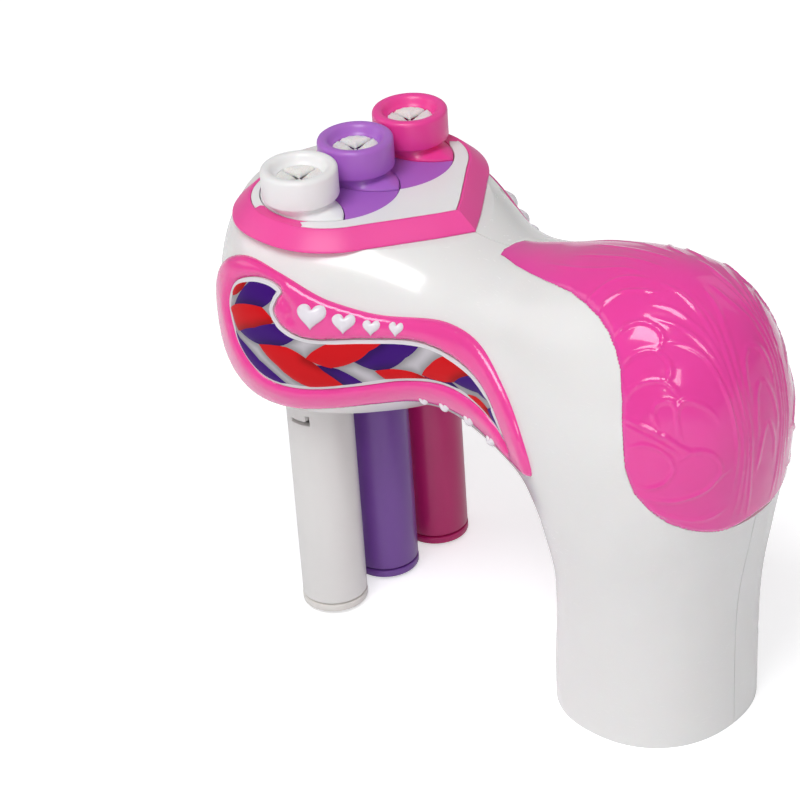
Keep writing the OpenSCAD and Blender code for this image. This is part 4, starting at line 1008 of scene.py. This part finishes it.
# ---------------------------------------------------------------- steel parts
# Axles, screws, battery contacts and the motor's can are of zinc-plated or drawn steel and the
# pinion of brass, all with fine drawing lines and worn a little brighter on the arrises.
drawn_steel, inside, outside = effect(
    "drawn_steel", [("Line Scale", 900.0), ("Roughness", 0.28), ("Wear Radius", 0.0003)],
    [("Wear", "Float"), ("Roughness", "Float"), ("Normal", "Vector")])
place = node(drawn_steel, "TexCoord").outputs["Object"]
squeezed = node(drawn_steel, "Mapping", vector=place, scale=(1.0, 1.0, 0.08))
lines_drawn = node(drawn_steel, "TexNoise", vector=squeezed.outputs[0], scale=inside.outputs["Line Scale"],
                   detail=4.0)
rough_lines = node(drawn_steel, "Math", operation="MULTIPLY_ADD", in0=lines_drawn.outputs[0], in1=0.2,
                   in2=inside.outputs["Roughness"])
rounded = node(drawn_steel, "Bevel", samples=6, radius=inside.outputs["Wear Radius"])
plain = node(drawn_steel, "NewGeometry")
meet = node(drawn_steel, "VectorMath", operation="DOT_PRODUCT", in0=rounded.outputs[0],
            in1=plain.outputs["Normal"])
worn = node(drawn_steel, "MapRange", value=meet.outputs["Value"], in1=0.995, in2=0.9, in3=0.0, in4=1.0)
scored = node(drawn_steel, "Bump", height=lines_drawn.outputs[0], distance=0.00002, strength=0.5,
              normal=rounded.outputs[0])
drawn_steel.links.new(worn.outputs[0], outside.inputs["Wear"])
drawn_steel.links.new(rough_lines.outputs[0], outside.inputs["Roughness"])
drawn_steel.links.new(scored.outputs[0], outside.inputs["Normal"])


def metal(name, colour, bright, roughness, line_scale=900.0):
    """A drawn or plated metal: its colour, the brighter tone of its worn arrises, its roughness."""
    material = bpy.data.materials.new(name)
    material.use_nodes = True
    tree = material.node_tree
    shader = tree.nodes["Principled BSDF"]
    surface = tree.nodes.new("ShaderNodeGroup")
    surface.node_tree = drawn_steel
    surface.inputs["Line Scale"].default_value = line_scale
    surface.inputs["Roughness"].default_value = roughness
    tone = node(tree, "Mix", data_type="RGBA", in0=surface.outputs["Wear"], in6=colour, in7=bright)
    tree.links.new(tone.outputs[2], shader.inputs["Base Color"])
    tree.links.new(surface.outputs["Roughness"], shader.inputs["Roughness"])
    tree.links.new(surface.outputs["Normal"], shader.inputs["Normal"])
    shader.inputs["Metallic"].default_value = 1.0
    return material


steel = metal("steel", paint(178, 182, 188), paint(220, 222, 226), 0.22)
motor_can = metal("motor_can", paint(150, 152, 156), paint(196, 198, 202), 0.34, 500.0)
brass = metal("brass", paint(196, 160, 84), paint(228, 200, 128), 0.24, 1400.0)
dress(steel, "gear_axles", "shell_screws", "gearbox_screws", "door_screw", "battery_contacts")
dress(motor_can, "motor")
dress(brass, "motor_pinion")

# ---------------------------------------------------------------- trigger spring
# A coil spring of steel wire, five even turns, stands between the trigger's flange and the switch.
SPRING_AXIS_Y, SPRING_AXIS_Z = 4.2, -59.4
SPRING_START = FLANGE_X + 1.3
SPRING_L = 6.5
WIRE_R = 0.25
COIL_R = 2.05
rows = []
for u in np.linspace(0, 1, 145):
    turn = 2 * np.pi * 5 * u
    outward_at = np.array([0, math.cos(turn), math.sin(turn)])
    place_at = np.array([SPRING_START + 0.3 + (SPRING_L - 0.6) * u, SPRING_AXIS_Y, SPRING_AXIS_Z + DECK_Z])
    around_wire = np.radians(np.arange(0, 360, 45))
    rows.append(place_at + outward_at * (COIL_R + WIRE_R * np.cos(around_wire))[:, None]
                + np.array([1, 0, 0]) * (WIRE_R * np.sin(around_wire))[:, None])
spring = solid("trigger_coil", np.vstack(rows), tube_faces(len(rows), 8))
seat(spring, "housing", [steel], ["trigger_spring"])
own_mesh(spring)

# ---------------------------------------------------------------- cells, switch and leads
# Four AA cells in printed jackets stand in a black holder behind the door; the micro switch
# over them is joined by two short leads.
black_plastic = moulded("black_plastic", paint(34, 34, 38), paint(48, 48, 54), 0.45, 2000.0, 0.00003,
                        0.15, 0.0002)
cell_jacket = moulded("cell_jacket", paint(44, 58, 84), paint(36, 48, 72), 0.3, 800.0, 0.00001, 0.08,
                      0.0003, coat_weight=0.4)
band = cell_jacket.node_tree
height = node(band, "SeparateXYZ", in0=node(band, "TexCoord").outputs["Object"])
upper_band = node(band, "Math", operation="GREATER_THAN", in0=height.outputs[2], in1=0.041)
jacket_tone = band.nodes["Mix"].outputs[2]
banded = node(band, "Mix", data_type="RGBA", in0=upper_band.outputs[0], in6=jacket_tone,
              in7=paint(186, 150, 96))
band.links.new(banded.outputs[2], band.nodes["Principled BSDF"].inputs["Base Color"])
wire = moulded("wire", paint(188, 24, 28), paint(168, 18, 24), 0.4, 1500.0, 0.00001, 0.08, 0.0001)
dress(black_plastic, "battery_box", "micro_switch")
dress(cell_jacket, "battery_cells")
dress(wire, "switch_leads")

# ---------------------------------------------------------------- floor, light and camera
# A plain pale floor under four soft studio boxes: a large one overhead, a small one beside the
# camera, one to the left and a dim one behind, so that the glossy skins show soft window shapes.
floor_mesh = bpy.data.meshes.new("floor")
FLOOR_HALF = 3.0
floor_mesh.from_pydata([(x, y, 0) for x, y in ((-FLOOR_HALF, -FLOOR_HALF), (FLOOR_HALF, -FLOOR_HALF),
                                               (FLOOR_HALF, FLOOR_HALF), (-FLOOR_HALF, FLOOR_HALF))],
                       [], [(0, 1, 2, 3)])
floor = bpy.data.objects.new("floor", floor_mesh)
bpy.context.scene.collection.objects.link(floor)
pale_floor = bpy.data.materials.new("pale_floor")
pale_floor.use_nodes = True
floor_tree = pale_floor.node_tree
floor_shader = floor_tree.nodes["Principled BSDF"]
floor_shader.inputs["Base Color"].default_value = paint(244, 244, 246)
floor_shader.inputs["Roughness"].default_value = 0.7
floor_shader.inputs["Emission Color"].default_value = (1, 1, 1, 1)
seen = node(floor_tree, "LightPath")
seen_or_mirrored = node(floor_tree, "Math", operation="MAXIMUM", in0=seen.outputs["Is Camera Ray"],
                        in1=seen.outputs["Is Glossy Ray"])
mirrored_glow = node(floor_tree, "Math", operation="MULTIPLY", in0=seen_or_mirrored.outputs[0], in1=0.25)
glow = node(floor_tree, "Math", operation="MULTIPLY_ADD", in0=seen.outputs["Is Camera Ray"], in1=0.28,
            in2=mirrored_glow.outputs[0])
floor_tree.links.new(glow.outputs[0], floor_shader.inputs["Emission Strength"])
floor_mesh.materials.append(pale_floor)

surroundings = bpy.data.worlds.new("surroundings")
bpy.context.scene.world = surroundings
surroundings.use_nodes = True
air = surroundings.node_tree
air_out = air.nodes["World Output"]
dim = air.nodes["Background"]
dim.inputs["Color"].default_value = (1, 1, 1, 1)
dim.inputs["Strength"].default_value = 0.33
white_behind = node(air, "Background", strength=1.0)
white_behind.inputs["Color"].default_value = (1, 1, 1, 1)
looking = node(air, "LightPath")
either = node(air, "Math", operation="MAXIMUM", in0=looking.outputs["Is Camera Ray"],
              in1=looking.outputs["Is Transmission Ray"])
choice = node(air, "MixShader", in0=either.outputs[0], in1=dim.outputs[0], in2=white_behind.outputs[0])
air.links.new(choice.outputs[0], air_out.inputs["Surface"])

MIDDLE = Vector((-0.03, 0.0, 0.08))


def softbox(name, direction, away, width, depth, watts):
    """A rectangular studio lamp that looks at the object from the given direction."""
    lamp = bpy.data.lights.new(name, "AREA")
    lamp.shape, lamp.size, lamp.size_y, lamp.energy = "RECTANGLE", width, depth, watts
    holder = bpy.data.objects.new(name, lamp)
    holder.location = MIDDLE + Vector(direction).normalized() * away
    holder.rotation_euler = Vector(direction).to_track_quat("Z", "Y").to_euler()
    bpy.context.scene.collection.objects.link(holder)


softbox("overhead_box", (0.1, -0.5, 0.86), 1.1, 0.55, 0.5, 6.0)
softbox("front_box", (0.62, -0.72, 0.36), 1.2, 0.3, 0.3, 1.5)
softbox("left_box", (-0.9, -0.5, 0.5), 1.3, 0.6, 0.6, 1.0)
softbox("back_box", (0.2, 0.9, 0.7), 1.4, 0.8, 0.6, 0.6)

view_turn, view_down, view_roll = (math.radians(a) for a in (44.569, 30.770, 4.105))
ahead = Vector((-math.sin(view_turn) * math.cos(view_down), math.cos(view_turn) * math.cos(view_down),
                -math.sin(view_down)))
right = Vector((math.cos(view_turn), math.sin(view_turn), 0))
up = right.cross(ahead)
rolled_right = math.cos(view_roll) * right - math.sin(view_roll) * up
rolled_up = math.sin(view_roll) * right + math.cos(view_roll) * up
lens = bpy.data.cameras.new("camera")
lens.lens, lens.sensor_width = 135.0, 36.0
camera = bpy.data.objects.new("camera", lens)
camera.matrix_world = Matrix.Translation((0.40120, -0.49505, 0.47048)) @ Matrix(
    (rolled_right, rolled_up, -ahead)).transposed().to_4x4()
bpy.context.scene.collection.objects.link(camera)
bpy.context.scene.camera = camera
bpy.context.scene.view_settings.view_transform = "Standard"
